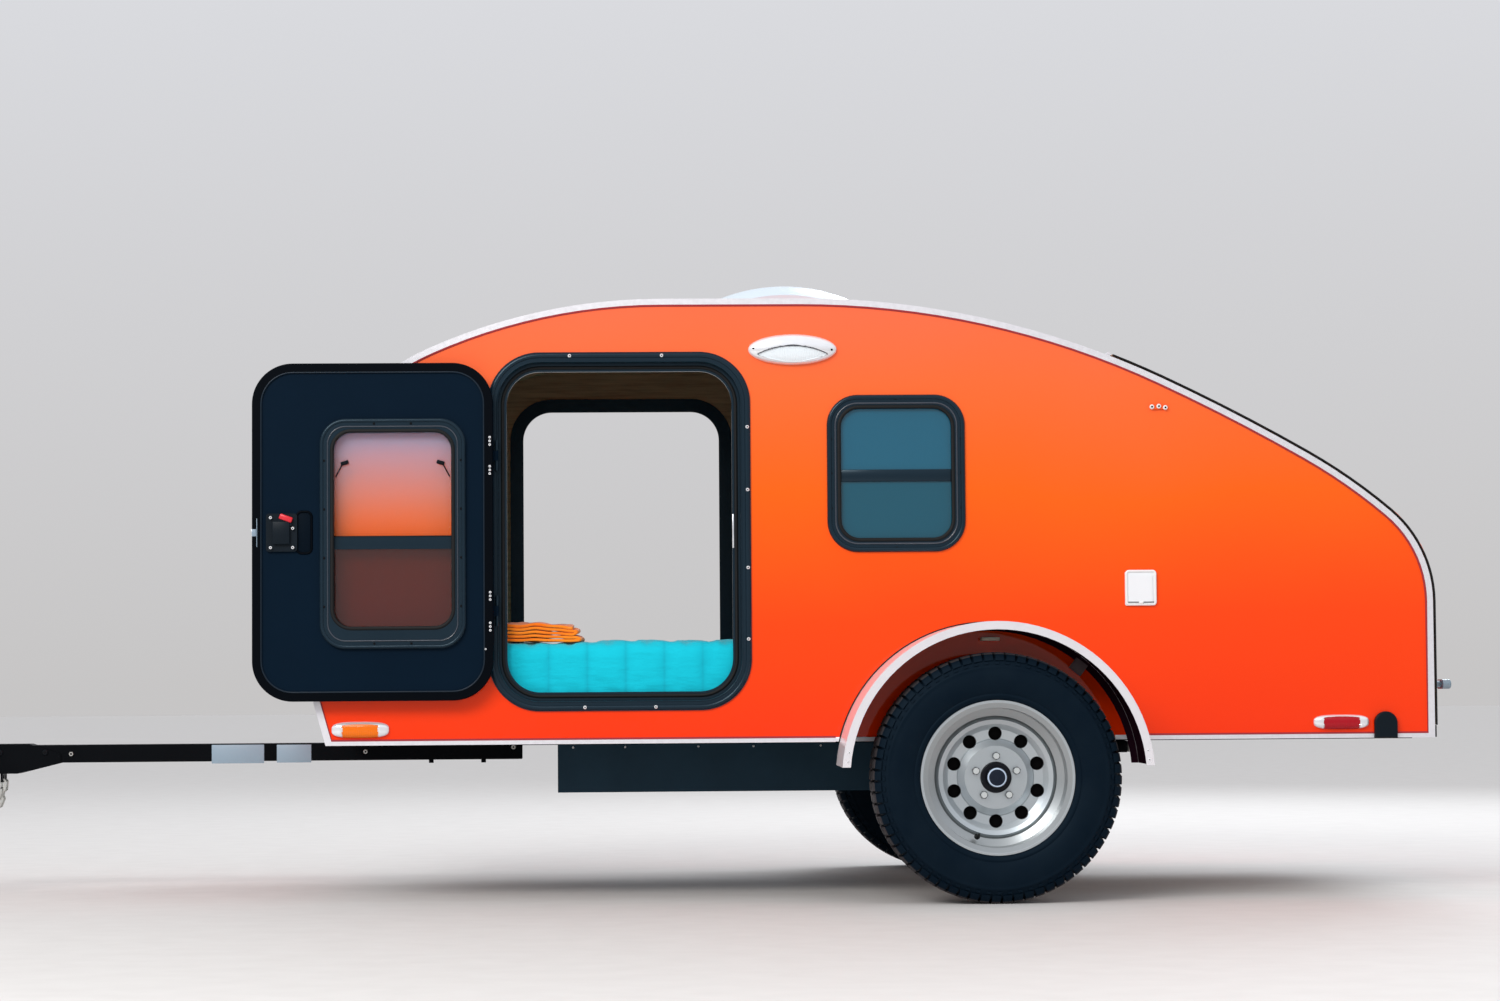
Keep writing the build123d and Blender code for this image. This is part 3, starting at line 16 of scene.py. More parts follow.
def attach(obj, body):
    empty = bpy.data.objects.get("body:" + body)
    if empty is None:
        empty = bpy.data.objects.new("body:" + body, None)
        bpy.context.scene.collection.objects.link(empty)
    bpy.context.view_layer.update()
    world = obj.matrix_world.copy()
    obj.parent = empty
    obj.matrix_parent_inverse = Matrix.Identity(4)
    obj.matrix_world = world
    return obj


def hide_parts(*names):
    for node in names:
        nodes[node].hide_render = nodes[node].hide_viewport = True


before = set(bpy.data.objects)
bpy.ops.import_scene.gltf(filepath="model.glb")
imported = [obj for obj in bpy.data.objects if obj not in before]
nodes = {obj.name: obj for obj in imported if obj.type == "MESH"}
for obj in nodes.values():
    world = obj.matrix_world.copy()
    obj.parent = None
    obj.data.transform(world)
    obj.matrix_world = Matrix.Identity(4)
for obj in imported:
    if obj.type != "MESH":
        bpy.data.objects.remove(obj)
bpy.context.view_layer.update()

# %% [markdown]
# Along the body, places are easiest to think of as stations: millimetres behind a mark at the front
# corner. Heights are millimetres above the body's bottom edge, which rides 428 mm above the ground.
# These two small helpers turn both into frame coordinates, in metres.

# %% Stations and heights
MM = 0.001
MID_STATION = 1.001
BODY_Z = 0.428
WALL_FACE = 762.0        # outside of a side wall, in millimetres from the middle


def x_at(station):
    return station * MM - MID_STATION


def z_at(height):
    return height * MM + BODY_Z


print("front corner of the body at x", round(x_at(0), 3))

# %% [markdown]
# The camera stands ten metres off, a little ahead of the middle and only 60 cm above the ground, with
# a long 85 mm lens. It looks up by three degrees and is rolled by less than half a degree, which is
# what tilts the body's straight bottom edge. A long lens keeps the side nearly flat, so the far door
# opening still shows through the near one.

# %% Camera
CAMERA_PLACE = Vector((-0.0455, -10.429, 0.595))
CAMERA_YAW = 1.881
CAMERA_PITCH = 2.921
CAMERA_ROLL = 0.42
camera_data = bpy.data.cameras.new("camera")
camera_data.lens = 85.0
camera_data.sensor_width = 36.0
camera_data.dof.use_dof = False
camera = bpy.data.objects.new("camera", camera_data)
bpy.context.scene.collection.objects.link(camera)
turn = Matrix.Rotation(math.radians(-CAMERA_YAW), 4, "Z")
tip = Matrix.Rotation(math.radians(90 + CAMERA_PITCH), 4, "X")
roll = Matrix.Rotation(math.radians(-CAMERA_ROLL), 4, "Z")
camera.matrix_world = Matrix.Translation(CAMERA_PLACE) @ turn @ tip @ roll
bpy.context.scene.camera = camera
print("camera", [round(v, 3) for v in camera.location], "lens", camera_data.lens)

# %% [markdown]
# Shader maths reads best as plain expressions. Nodes could be dragged or added one by one, but one
# small class that wraps a socket and overloads the operators lets a mask be written as
# (height - 0.5) * 4, and each expression adds its own Math nodes.

# %% Shader maths as expressions
class Wire:
    """One output socket of a material's node tree."""

    def __init__(self, tree, socket):
        self.tree = tree
        self.socket = socket

    def math(self, operation, *others):
        node = self.tree.nodes.new("ShaderNodeMath")
        node.operation = operation
        for slot, value in enumerate((self, *others)):
            connect(self.tree, node.inputs[slot], value)
        return Wire(self.tree, node.outputs[0])

    def __add__(self, other):
        return self.math("ADD", other)

    def __sub__(self, other):
        return self.math("SUBTRACT", other)

    def __mul__(self, other):
        return self.math("MULTIPLY", other)

    def __truediv__(self, other):
        return self.math("DIVIDE", other)

    def __rsub__(self, other):
        return (self * -1.0) + other

    __radd__ = __add__
    __rmul__ = __mul__

    def above(self, level):
        return self.math("GREATER_THAN", level)

    def below(self, level):
        return self.math("LESS_THAN", level)

    def abs(self):
        return self.math("ABSOLUTE")

    def sin(self):
        return self.math("SINE")

    def clamp(self):
        return self.math("MAXIMUM", 0.0).math("MINIMUM", 1.0)


print("class", Wire.__name__, "is ready")

# %% [markdown]
# Numbers and wires go into sockets in the same way, so one function tells them apart. A second one adds
# any other node: its type and its settings first, because they decide which sockets it has, then the
# values and links. A colour ramp's stops are a setting too.

# %% Nodes from one call
def connect(tree, socket, value):
    """Link a wire to a socket, or set the socket's own value."""
    if isinstance(value, Wire):
        tree.links.new(value.socket, socket)
    else:
        socket.default_value = value


def add_node(tree, kind, settings=(), out=0, **links):
    """Add a node of a type, make its settings, then link or set its sockets by name."""
    node = tree.nodes.new(kind)
    for key, value in dict(settings).items():
        if key == "stops":
            ramp = node.color_ramp
            while len(ramp.elements) < len(value):
                ramp.elements.new(0.5)
            for element, (place, colour) in zip(ramp.elements, value):
                element.position = place
                element.color = (*colour, 1.0)
        else:
            setattr(node, key, value)
    for key, value in links.items():
        name = key.replace("_", " ")
        socket = next(s for s in node.inputs if s.name == name or s.identifier == key)
        connect(tree, socket, value)
    return Wire(tree, node.outputs[out])


print("node helpers:", connect.__name__, "and", add_node.__name__)

# %% [markdown]
# Every finish starts from the same three lines: a new material, its principled shader and the object's
# own coordinates. Colours that vary are mixed with a factor, and fine relief goes through a Bump node
# into the normal. A value that is the same all over is set straight on the shader's socket.

# %% A finish and its usual patterns
class Finish:
    """A material with its principled shader and object coordinates at hand."""

    def __init__(self, name, colour, roughness, metallic=0.0, **sockets):
        self.material = bpy.data.materials.new(name)
        self.material.use_nodes = True
        self.tree = self.material.node_tree
        self.shader = self.tree.nodes["Principled BSDF"]
        self.set("Base Color", (*colour, 1.0))
        self.set("Roughness", roughness)
        self.set("Metallic", metallic)
        for key, value in sockets.items():
            self.set(key.replace("_", " "), value)
        coordinates = self.tree.nodes.new("ShaderNodeTexCoord").outputs
        self.place = Wire(self.tree, coordinates["Object"])
        self.normal = Wire(self.tree, coordinates["Normal"])

    def set(self, socket, value):
        connect(self.tree, self.shader.inputs[socket], value)

    def part(self, vector, axis):
        separate = self.tree.nodes.new("ShaderNodeSeparateXYZ")
        connect(self.tree, separate.inputs[0], vector)
        return Wire(self.tree, separate.outputs[axis])

    def noise(self, scale, detail=3.0, stretch=(1, 1, 1), rough=0.5):
        place = add_node(self.tree, "ShaderNodeMapping", Vector=self.place, Scale=stretch)
        return add_node(self.tree, "ShaderNodeTexNoise", Vector=place, Scale=scale,
                        Detail=detail, Roughness=rough)

    def ramp(self, value, *stops):
        return add_node(self.tree, "ShaderNodeValToRGB", {"stops": stops}, Fac=value)

    def mix(self, factor, first, second):
        node = self.tree.nodes.new("ShaderNodeMix")
        node.data_type = "RGBA"
        node.clamp_factor = True
        connect(self.tree, node.inputs[0], factor)
        for slot, value in ((6, first), (7, second)):
            connect(self.tree, node.inputs[slot], value if isinstance(value, Wire) else (*value, 1.0))
        return Wire(self.tree, node.outputs[2])

    def bump(self, height, strength, distance):
        wire = add_node(self.tree, "ShaderNodeBump", Height=height, Strength=strength,
                        Distance=distance)
        self.set("Normal", wire)


painted = set()


def paint(finish, *names):
    """Give a finish to carried-over nodes."""
    for name in names:
        slots = nodes[name].data.materials
        slots.clear()
        slots.append(finish.material)
        painted.add(name)


print("a finish offers:", ", ".join(name for name in vars(Finish) if not name.startswith("_")))

# %% [markdown]
# The studio is a pale floor under an even sky. Glossy paint shows whatever faces it, and this side
# panel faces the horizon, so the sky is kept a little dimmer there than overhead. That holds the deep
# colour of the panel, while the roof, the lamps and the fender still find something bright to mirror.

# %% Floor, sky and lamps
SKY_STOPS = ((0.0, (0.40, 0.38, 0.37)), (0.50, (0.60, 0.59, 0.59)), (0.56, (0.68, 0.68, 0.70)),
             (0.70, (0.90, 0.93, 1.0)), (1.0, (1.0, 1.0, 1.0)))
SKY_STRENGTH = 0.95
FLOOR_REACH = 60.0


def studio_sky():
    world = bpy.data.worlds.new("studio")
    bpy.context.scene.world = world
    world.use_nodes = True
    tree = world.node_tree
    sky = tree.nodes["Background"]
    place = tree.nodes.new("ShaderNodeTexCoord")
    split = tree.nodes.new("ShaderNodeSeparateXYZ")
    tree.links.new(place.outputs["Generated"], split.inputs[0])
    height = Wire(tree, split.outputs[2])
    shade = add_node(tree, "ShaderNodeValToRGB", {"stops": SKY_STOPS}, Fac=height * 0.5 + 0.5)
    tree.links.new(shade.socket, sky.inputs["Color"])
    sky.inputs["Strength"].default_value = SKY_STRENGTH


def soft_lamp(name, place, target, size, power, colour=(1, 1, 1)):
    data = bpy.data.lights.new(name, "AREA")
    data.shape = "RECTANGLE"
    data.size, data.size_y = size
    data.energy = power
    data.color = colour
    lamp = bpy.data.objects.new(name, data)
    bpy.context.scene.collection.objects.link(lamp)
    aim = Vector(target) - Vector(place)
    lamp.matrix_world = Matrix.Translation(place) @ aim.to_track_quat("-Z", "Y").to_matrix().to_4x4()


def make_floor():
    mesh = bpy.data.meshes.new("floor_sheet")
    corners = [(x * FLOOR_REACH, y * FLOOR_REACH, 0) for x, y in ((-1, -1), (1, -1), (1, 1), (-1, 1))]
    mesh.from_pydata(corners, [], [(0, 1, 2, 3)])
    ground = bpy.data.objects.new("studio_floor", mesh)
    bpy.context.scene.collection.objects.link(ground)
    finish = Finish("pale_floor", (0.62, 0.60, 0.585), 0.7)
    speck = finish.noise(9.0, detail=6)
    finish.set("Base Color", finish.mix(speck, (0.58, 0.56, 0.545), (0.66, 0.645, 0.63)))
    mesh.materials.append(finish.material)


bpy.context.scene.view_settings.view_transform = "Standard"
studio_sky()
soft_lamp("lamp_key", (-4.0, -8.0, 6.0), (0, 0, 0.8), (6.0, 3.0), 560, (1.0, 0.98, 0.95))
soft_lamp("lamp_back", (3.5, 6.0, 5.0), (0, 0, 0.8), (5.0, 2.5), 260, (0.92, 0.96, 1.0))
make_floor()

# %% [markdown]
# The skin is aluminium sheet in a deep orange enamel under a clear coat, glued to a birch core. One
# frame node holds the outside and the inside of a wall, so the finish changes from enamel to birch by
# place: across the wall for the flat sides, and by which way the surface faces for the curved roof and
# hatch. Birch is drawn as long stretched noise, darker in its grain.

# %% Enamel and birch
# The enamel's colour by height, from the sill to the roof: painted sky reflection above, painted shade
# below.
ENAMEL_PAINTED_LIGHT_STOPS = ((0.0, (0.92, 0.034, 0.0002)), (0.28, (0.95, 0.057, 0.0002)), (0.55, (0.95, 0.116, 0.001)),
                (0.80, (0.95, 0.138, 0.030)), (1.0, (0.95, 0.145, 0.058)))
ENAMEL_LOW, ENAMEL_HIGH = 0.43, 1.65
BIRCH = (0.38, 0.205, 0.115)
BIRCH_DARK = (0.25, 0.115, 0.062)
WALL_MIDDLE = 0.745
CABIN_CENTRE = (0.1, 0.0, 0.75)


def birch_colour(finish, stretch=(1.5, 26, 26), light=BIRCH, dark=BIRCH_DARK):
    grain = finish.noise(3.0, detail=9, stretch=stretch, rough=0.62)
    return finish.ramp(grain, (0.30, dark), (0.52, light), (0.75, tuple(c * 1.25 for c in light)))


def enamel_skin(name, outside):
    """Orange enamel where outside is 1, oiled birch where it is 0."""
    finish = Finish(name, (0.9, 0.07, 0.001), 0.4, Coat_Roughness=0.03, Coat_IOR=1.36,
                    Specular_IOR_Level=0.0)
    mask = outside(finish)
    cloud = finish.noise(1.4, detail=2) - 0.5
    height = (finish.part(finish.place, 2) - ENAMEL_LOW) / (ENAMEL_HIGH - ENAMEL_LOW)
    # Painted reflection and shade: salmon towards the roof, deeper red towards the sill.
    enamel = finish.ramp(height + cloud * 0.16, *ENAMEL_PAINTED_LIGHT_STOPS)
    finish.set("Base Color", finish.mix(mask, birch_colour(finish), enamel))
    finish.set("Coat Weight", mask)
    finish.set("Roughness", 0.5 - mask * 0.15)
    peel = finish.noise(140.0, detail=1)
    finish.bump(peel, 0.05, 0.0003)
    return finish


def on_outer_sheet(finish):
    return finish.part(finish.place, 1).abs().above(WALL_MIDDLE)


def facing_out(finish):
    """1 where a curved panel faces away from the cabin's centre, 0 on its inside."""
    away = add_node(finish.tree, "ShaderNodeVectorMath", {"operation": "SUBTRACT"},
                    Vector=finish.place, Vector_001=CABIN_CENTRE)
    dot = add_node(finish.tree, "ShaderNodeVectorMath", {"operation": "DOT_PRODUCT"}, out="Value",
                   Vector=away, Vector_001=finish.normal)
    return dot.above(0.02)


wall_skin = enamel_skin("enamel_wall", on_outer_sheet)
shell_skin = enamel_skin("enamel_shell", facing_out)
paint(wall_skin, "side_wall_left", "side_wall_right")
paint(shell_skin, "roof_shell", "hatch_shell")
print("enamel deepens from z", ENAMEL_HIGH, "down to", ENAMEL_LOW)

# %% [markdown]
# Metals differ mostly in roughness. The edge trim is satin anodised aluminium, zinc plate has a
# slightly cloudy skin, chrome is smooth, and the hatch's latches are a darker cast metal. Powder coat
# is black with a faint orange peel, which Bump gives at about a millimetre. The underfloor box has the
# same coat in a blue-grey. Each could be its own tree of nodes, but two functions cover all of them.

# %% Metals
def satin_metal(name, colour, roughness, scale=60.0, spread=0.12, metallic=1.0):
    """Metal whose roughness and colour drift in clouds of a given scale."""
    finish = Finish(name, colour, roughness, metallic)
    cloud = finish.noise(scale, detail=4)
    finish.set("Roughness", cloud * (2 * spread) + (roughness - spread))
    finish.set("Base Color", finish.mix(cloud, tuple(c * 0.86 for c in colour), colour))
    return finish


def powder_coat(name, colour=(0.0016, 0.0022, 0.0032), roughness=0.45):
    """Matt paint with an orange peel and a trace of dust."""
    finish = Finish(name, colour, roughness, Specular_IOR_Level=0.04)
    peel = finish.noise(650.0, detail=2)
    dust = finish.noise(7.0, detail=6)
    finish.set("Roughness", dust * 0.22 + (roughness - 0.11))
    finish.set("Base Color", finish.mix(dust, colour, tuple(c * 1.6 + 0.0004 for c in colour)))
    finish.bump(peel, 0.25, 0.0004)
    return finish


trim_metal = satin_metal("anodised_trim", (0.80, 0.79, 0.83), 0.40, scale=90, metallic=0.45)
zinc = satin_metal("zinc_plate", (0.60, 0.60, 0.57), 0.36, scale=45, spread=0.1)
chrome = satin_metal("chrome", (0.86, 0.87, 0.88), 0.09, scale=20, spread=0.03)
black_steel = powder_coat("powder_coat")
box_sheet = powder_coat("box_sheet", (0.0150, 0.0340, 0.0520), 0.5)
lock_metal = satin_metal("lock_metal", (0.26, 0.34, 0.40), 0.30, scale=40, spread=0.08, metallic=0.6)
paint(trim_metal, "edge_trims", "hatch_strip", "hatch_hinge")
paint(zinc, "strut_studs", "jack_bracket", "jack_tube", "jack_leg", "safety_chains")
paint(chrome, "strut_rod_left", "strut_rod_right", "porch_lights", "marker_lights")
paint(lock_metal, "hatch_latches")
paint(black_steel, "chassis_rails", "crossmembers", "rear_sill", "tongue_beam", "tongue_sleeve",
      "coupler", "axle_beam", "wheel_arms", "strut_cylinder_left", "strut_cylinder_right",
      "hatch_brackets")
paint(box_sheet, "underfloor_box")
print("painted so far:", len(painted), "nodes")

# %% [markdown]
# The doors and window frames are moulded plastic, blue-black with a fine leather grain from the mould.
# A blue Specular Tint gives the frames the cool sheen that such plastic has under an open sky. The
# milky roof vent, the white hatch and the rubber seals are the same idea in other colours: a base
# colour, a little colour drift, and grain at its real scale.

# %% Moulded plastics
def moulded(name, colour, roughness, grain=900.0, relief=0.25, drift=1.25, shine=0.5):
    finish = Finish(name, colour, roughness, Specular_IOR_Level=shine)
    fine = finish.noise(grain, detail=2)
    cloud = finish.noise(5.0, detail=4)
    finish.set("Base Color", finish.mix(cloud, colour, tuple(min(1, c * drift) for c in colour)))
    finish.set("Roughness", cloud * 0.12 + (roughness - 0.06))
    finish.bump(fine, relief, 0.0003)
    return finish


frame_plastic = moulded("frame_moulding", (0.0030, 0.0100, 0.0180), 0.24, grain=1200, relief=0.10,
                        shine=0.36)
frame_plastic.set("Specular Tint", (0.62, 0.85, 1.0, 1.0))
latch_plastic = moulded("latch_moulding", (0.0020, 0.0060, 0.0105), 0.38, relief=0.15, shine=0.14)
white_plastic = moulded("white_moulding", (0.80, 0.80, 0.79), 0.30, grain=400, relief=0.05, drift=1.04)
vent_plastic = moulded("vent_moulding", (0.60, 0.70, 0.78), 0.26, grain=300, relief=0.05, drift=1.08)
seal_rubber = moulded("seal_rubber", (0.003, 0.0035, 0.004), 0.6, grain=600, relief=0.3, shine=0.25)
paint(frame_plastic, "door_frame_left", "door_frame_right", "window_frames", "door_window_left",
      "door_window_right")
paint(latch_plastic, "door_latch_left", "door_latch_right", "rear_ports")
paint(vent_plastic, "vent_base", "vent_lid")
print("painted so far:", len(painted), "nodes")

# %% [markdown]
# Two plastic nodes have two tones each. A door leaf is a blue-black panel inside a rim that is nearly
# black and stands 4 mm higher, and the side fittings are a white hatch and a thin bar in the body's
# colour, above it. The nodes could be split, but a mask on place does it: one on Y, one on height.

# %% Plastics in two tones
LEAF_RIM_Y = 0.8098      # between the leaf's panel and its rim
BAR_HEIGHT = 700         # between the white hatch and the bar that carries three lamps
LEAF_BLUE = (0.0010, 0.0070, 0.0165)
FITTING_WHITE = (0.82, 0.84, 0.86)


def leaf_finish():
    finish = Finish("door_moulding", LEAF_BLUE, 0.46, Specular_IOR_Level=0.04)
    cloud = finish.noise(5.0, detail=4)
    panel = finish.mix(cloud, LEAF_BLUE, (0.0013, 0.0088, 0.0206))
    rim = finish.part(finish.place, 1).abs().above(LEAF_RIM_Y)
    finish.set("Base Color", finish.mix(rim, panel, (0.0004, 0.0014, 0.0032)))
    finish.set("Roughness", cloud * 0.12 + 0.40)
    finish.bump(finish.noise(700.0, detail=2), 0.4, 0.0003)
    return finish


def fitting_finish():
    finish = Finish("side_fittings", FITTING_WHITE, 0.28, Specular_IOR_Level=0.3)
    bar = finish.part(finish.place, 2).above(z_at(BAR_HEIGHT))
    finish.set("Base Color", finish.mix(bar, FITTING_WHITE, (0.90, 0.10, 0.012)))
    finish.bump(finish.noise(400.0, detail=2), 0.05, 0.0003)
    return finish


leaf_plastic = leaf_finish()
paint(leaf_plastic, "door_leaf_left", "door_leaf_right")
paint(fitting_finish(), "side_fittings")
print("leaf rim from |y|", LEAF_RIM_Y, "and lamp bar from z", round(z_at(BAR_HEIGHT), 3))

# %% [markdown]
# Glass here is a thin sheet. The side windows are tinted so deeply that they read as a blue-green
# mirror, a little darker below their bar. The door glass is paler and lets the orange wall show through
# from behind the folded door. Its upper pane carries a painted reflection of the sky, more opaque and
# bluer towards the top. The lower one is painted much darker: a screen behind it, and painted shade.
# Alpha and colour follow the height, and the pane is still one sheet.

# %% Glass
DOOR_BAR_HEIGHT = 549.0
DOOR_GLASS_TOP = 849.0
WINDOW_HEIGHT = 733.0    # middle of the side window, where its bar is
side_glass = Finish("side_glass", (0.004, 0.100, 0.170), 0.05, Coat_Weight=0.8, Coat_Roughness=0.01,
                    Coat_IOR=1.3)
over_bar = side_glass.part(side_glass.place, 2).above(z_at(WINDOW_HEIGHT))
side_glass.set("Base Color", side_glass.mix(over_bar, (0.001, 0.076, 0.122), (0.004, 0.100, 0.170)))
side_glass.set("Alpha", 0.94)
side_glass.bump(side_glass.noise(6.0, detail=1), 0.04, 0.002)
door_glass = Finish("door_glass", (0.7, 0.7, 0.95), 0.03, Coat_Weight=1.0, Coat_Roughness=0.01)
level = (door_glass.part(door_glass.place, 2) - z_at(DOOR_BAR_HEIGHT)) / (
    (DOOR_GLASS_TOP - DOOR_BAR_HEIGHT) * MM)
lower = level.below(0.0)
# Painted sky reflection above the bar, more opaque and bluer upwards; below it, a screen and painted shade.
reflection_opacity = level.clamp().math("POWER", 1.2) * 0.34 + 0.06
door_glass.set("Alpha", lower * 0.50 + (1 - lower) * reflection_opacity)
painted_sky_reflection = door_glass.ramp(level, (0.0, (0.40, 0.30, 0.06)), (0.45, (0.50, 0.42, 0.42)),
                       (1.0, (0.44, 0.47, 0.70)))
door_glass.set("Base Color", door_glass.mix(lower, painted_sky_reflection, (0.020, 0.012, 0.013)))
paint(side_glass, "window_glass")
paint(door_glass, "door_glass_left", "door_glass_right")
print("door glass is", DOOR_GLASS_TOP - DOOR_BAR_HEIGHT, "mm high above its bar")

# %% [markdown]
# Inside, the floor, bulkhead and galley are oiled birch plywood, with the grain along each panel's
# length. A wood texture would draw rings; noise that is stretched along one axis draws planed veneer.
# The tail lamps have a deep red lens.

# %% Birch and tail lamps
def birch_ply(name, stretch):
    finish = Finish(name, BIRCH, 0.45)
    finish.set("Base Color", birch_colour(finish, stretch))
    finish.bump(finish.noise(12.0, detail=6, stretch=stretch), 0.12, 0.0006)
    return finish


ply_flat = birch_ply("birch_flat", (1.5, 26, 26))
ply_upright = birch_ply("birch_upright", (26, 26, 1.5))
paint(ply_flat, "floor", "galley_counter", "galley_shelf")
paint(ply_upright, "bulkhead", "galley_cabinet")
lamp_red = Finish("red_lens", (0.45, 0.002, 0.006), 0.14, Coat_Weight=1.0, Coat_Roughness=0.03,
                  Coat_IOR=1.35)
paint(lamp_red, "tail_lights")
print("finishes:", ply_flat.material.name, ply_upright.material.name, lamp_red.material.name)

# %% [markdown]
# A wheel's finishes change with the distance from its axle. The tyre is a blue-black rubber with road
# dust on its tread. The hub shows plated nuts out on the stud circle, with a dark gap round each, and a
# black cap in the middle with a bright ring pressed round its edge. X and Z give that distance, and
# for things that repeat round the axle, the angle is folded so that one formula serves them all.

# %% Wheel measures, rubber and hub
WHEEL_X = x_at(1918.0)
WHEEL_Z = 0.334
TREAD_FROM = 0.3285      # radius past which the rubber is dusty
STUDS, STUD_RING = 5, 0.05715
NUT_CORE = 0.0082
CAP_EDGE = 0.0415
CAP_RING = (0.0218, 0.0258)


def beside_axle(finish):
    return finish.part(finish.place, 0) - WHEEL_X, finish.part(finish.place, 2) - WHEEL_Z


def from_axle(finish):
    dx, dz = beside_axle(finish)
    return (dx * dx + dz * dz).math("SQRT")


def from_circle(finish, count, ring):
    """Distance from the nearest of some places on a circle round the axle, the first at the top."""
    dx, dz = beside_axle(finish)
    square = dx * dx + dz * dz
    aside = (dz.math("ARCTAN2", dx) - math.pi / 2).math("PINGPONG", math.pi / count)
    return (square + ring * ring - square.math("SQRT") * (2 * ring) * aside.math("COSINE")).math("SQRT")


def between(radius, low, high):
    return radius.above(low) * radius.below(high)


def rubber(name, colour, roughness):
    finish = Finish(name, colour, roughness, Specular_IOR_Level=0.08)
    finish.set("Specular Tint", (0.55, 0.8, 1.0, 1.0))
    dust = finish.noise(14.0, detail=6)
    side = finish.mix(dust, colour, (0.0045, 0.0100, 0.0170))
    tread = from_axle(finish).above(TREAD_FROM)
    finish.set("Base Color", finish.mix(tread * 0.55, side, (0.075, 0.062, 0.060)))
    finish.set("Roughness", dust * 0.2 + (roughness - 0.1))
    finish.bump(finish.noise(420.0, detail=2), 0.2, 0.0005)
    return finish


def hub_finish():
    finish = Finish("hub_cap_and_nuts", (0.6, 0.6, 0.58), 0.25, metallic=1.0, Specular_IOR_Level=0.2)
    radius = from_axle(finish)
    cap = radius.below(CAP_EDGE)
    black = finish.mix(radius.below(CAP_RING[0]), (0.0008, 0.0016, 0.0050), (0.0040, 0.0090, 0.0210))
    capped = finish.mix(between(radius, *CAP_RING), black, (0.48, 0.58, 0.72))
    gap = from_circle(finish, STUDS, STUD_RING).above(NUT_CORE)
    nut = finish.mix(gap, (0.74, 0.78, 0.78), (0.10, 0.11, 0.12))
    finish.set("Base Color", finish.mix(cap, nut, capped))
    finish.set("Metallic", 1 - cap)
    finish.set("Roughness", cap * 0.12 + 0.22)
    finish.bump(finish.noise(300.0, detail=2), 0.1, 0.0003)
    return finish


tyre_rubber = rubber("tyre_rubber", (0.0006, 0.0042, 0.0104), 0.55)
paint(tyre_rubber, "tyre_left", "tyre_right")
paint(hub_finish(), "hub_left", "hub_right")
print("axle at x", round(WHEEL_X, 3), "and z", WHEEL_Z)

# %% [markdown]
# The rim is pressed steel under silver paint with a little flake. The slope round its middle pad is a
# tone brighter, a painted highlight, and the well near its edge a tone duller, a painted shade. Its ten
# holes have rolled edges, and a disc a little larger than each hole is painted dark: painted shade.

# %% Rim paint
PAD_SLOPE = (0.084, 0.101)
RIM_WELL = (0.159, 0.199)
HAND_HOLES = 10
HAND_HOLE_RING = 0.117
HAND_HOLE_EDGE = 0.0182


def rim_paint(name):
    finish = Finish(name, (0.50, 0.51, 0.52), 0.30, metallic=0.88, Coat_Weight=0.4, Coat_Roughness=0.12)
    flake = finish.noise(900.0, detail=1)
    silver = finish.mix(flake, (0.40, 0.44, 0.46), (0.54, 0.59, 0.62))
    radius = from_axle(finish)
    # Painted highlight on the pad's slope.
    silver = finish.mix(between(radius, *PAD_SLOPE) * 0.8, silver, (0.74, 0.80, 0.84))
    # Painted shade in the well.
    silver = finish.mix(between(radius, *RIM_WELL) * 0.6, silver, (0.26, 0.27, 0.27))
    # Painted shade: a dark disc round each hole.
    hole = from_circle(finish, HAND_HOLES, HAND_HOLE_RING).below(HAND_HOLE_EDGE)
    finish.set("Base Color", finish.mix(hole, silver, (0.002, 0.002, 0.004)))
    finish.bump(flake, 0.06, 0.0002)
    return finish


paint(rim_paint("rim_silver"), "rim_left", "rim_right")
print("holes in a rim:", HAND_HOLES, "on a circle", 2 * HAND_HOLE_RING, "m across")

# %% [markdown]
# The fender is bright rolled sheet outside. The faces that look at the axle, and its foot along the
# body, are painted near black: painted shade under the band. It is one sheet, so it isn't cut in two:
# its radius and its normal tell.

# %% Fender finish
FENDER_FOOT_Y = 0.775    # the foot lies nearer to the body than this
FENDER_FOOT_R = 0.4125   # and nearer to the axle than this


def fender_finish():
    finish = Finish("fender_sheet", (0.92, 0.89, 0.93), 0.22, metallic=0.6, Specular_IOR_Level=0.0)
    dx, dz = beside_axle(finish)
    radius = from_axle(finish)
    toward = dx * finish.part(finish.normal, 0) + dz * finish.part(finish.normal, 2)
    # Painted shade: near black where the sheet faces the axle, and on its foot along the body.
    foot = finish.part(finish.place, 1).abs().below(FENDER_FOOT_Y) * radius.below(FENDER_FOOT_R)
    under = (toward / radius).below(-0.5).math("MAXIMUM", foot)
    cloud = finish.noise(16.0, detail=4)
    bright = finish.mix(cloud, (0.86, 0.83, 0.87), (0.94, 0.92, 0.95))
    finish.set("Base Color", finish.mix(under, bright, (0.022, 0.006, 0.014)))
    finish.set("Metallic", 0.6 - under * 0.6)
    finish.set("Roughness", under * 0.7 + 0.22)
    return finish


paint(fender_finish(), "fenders")
print("nodes left unpainted:", sorted(set(nodes) - painted))

# %% [markdown]
# Pieces are meshes in frame coordinates. One helper turns points and faces into an object, mends its
# normals, and makes it ride on a body. Primitives with modifiers would do for single parts, but nearly
# every small part here is a cross-section carried along a path, so two more helpers join such sections
# into a skin: one for a path that closes on itself, one for a path with two ends.

# %% Pieces and strips
SAME_PLACE = 1e-6        # points closer than this are one point


def link_piece(name, mesh, finish, body="body"):
    piece = bpy.data.objects.new(name, mesh)
    bpy.context.scene.collection.objects.link(piece)
    if finish is not None:
        mesh.materials.append(finish.material)
    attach(piece, body)
    return piece


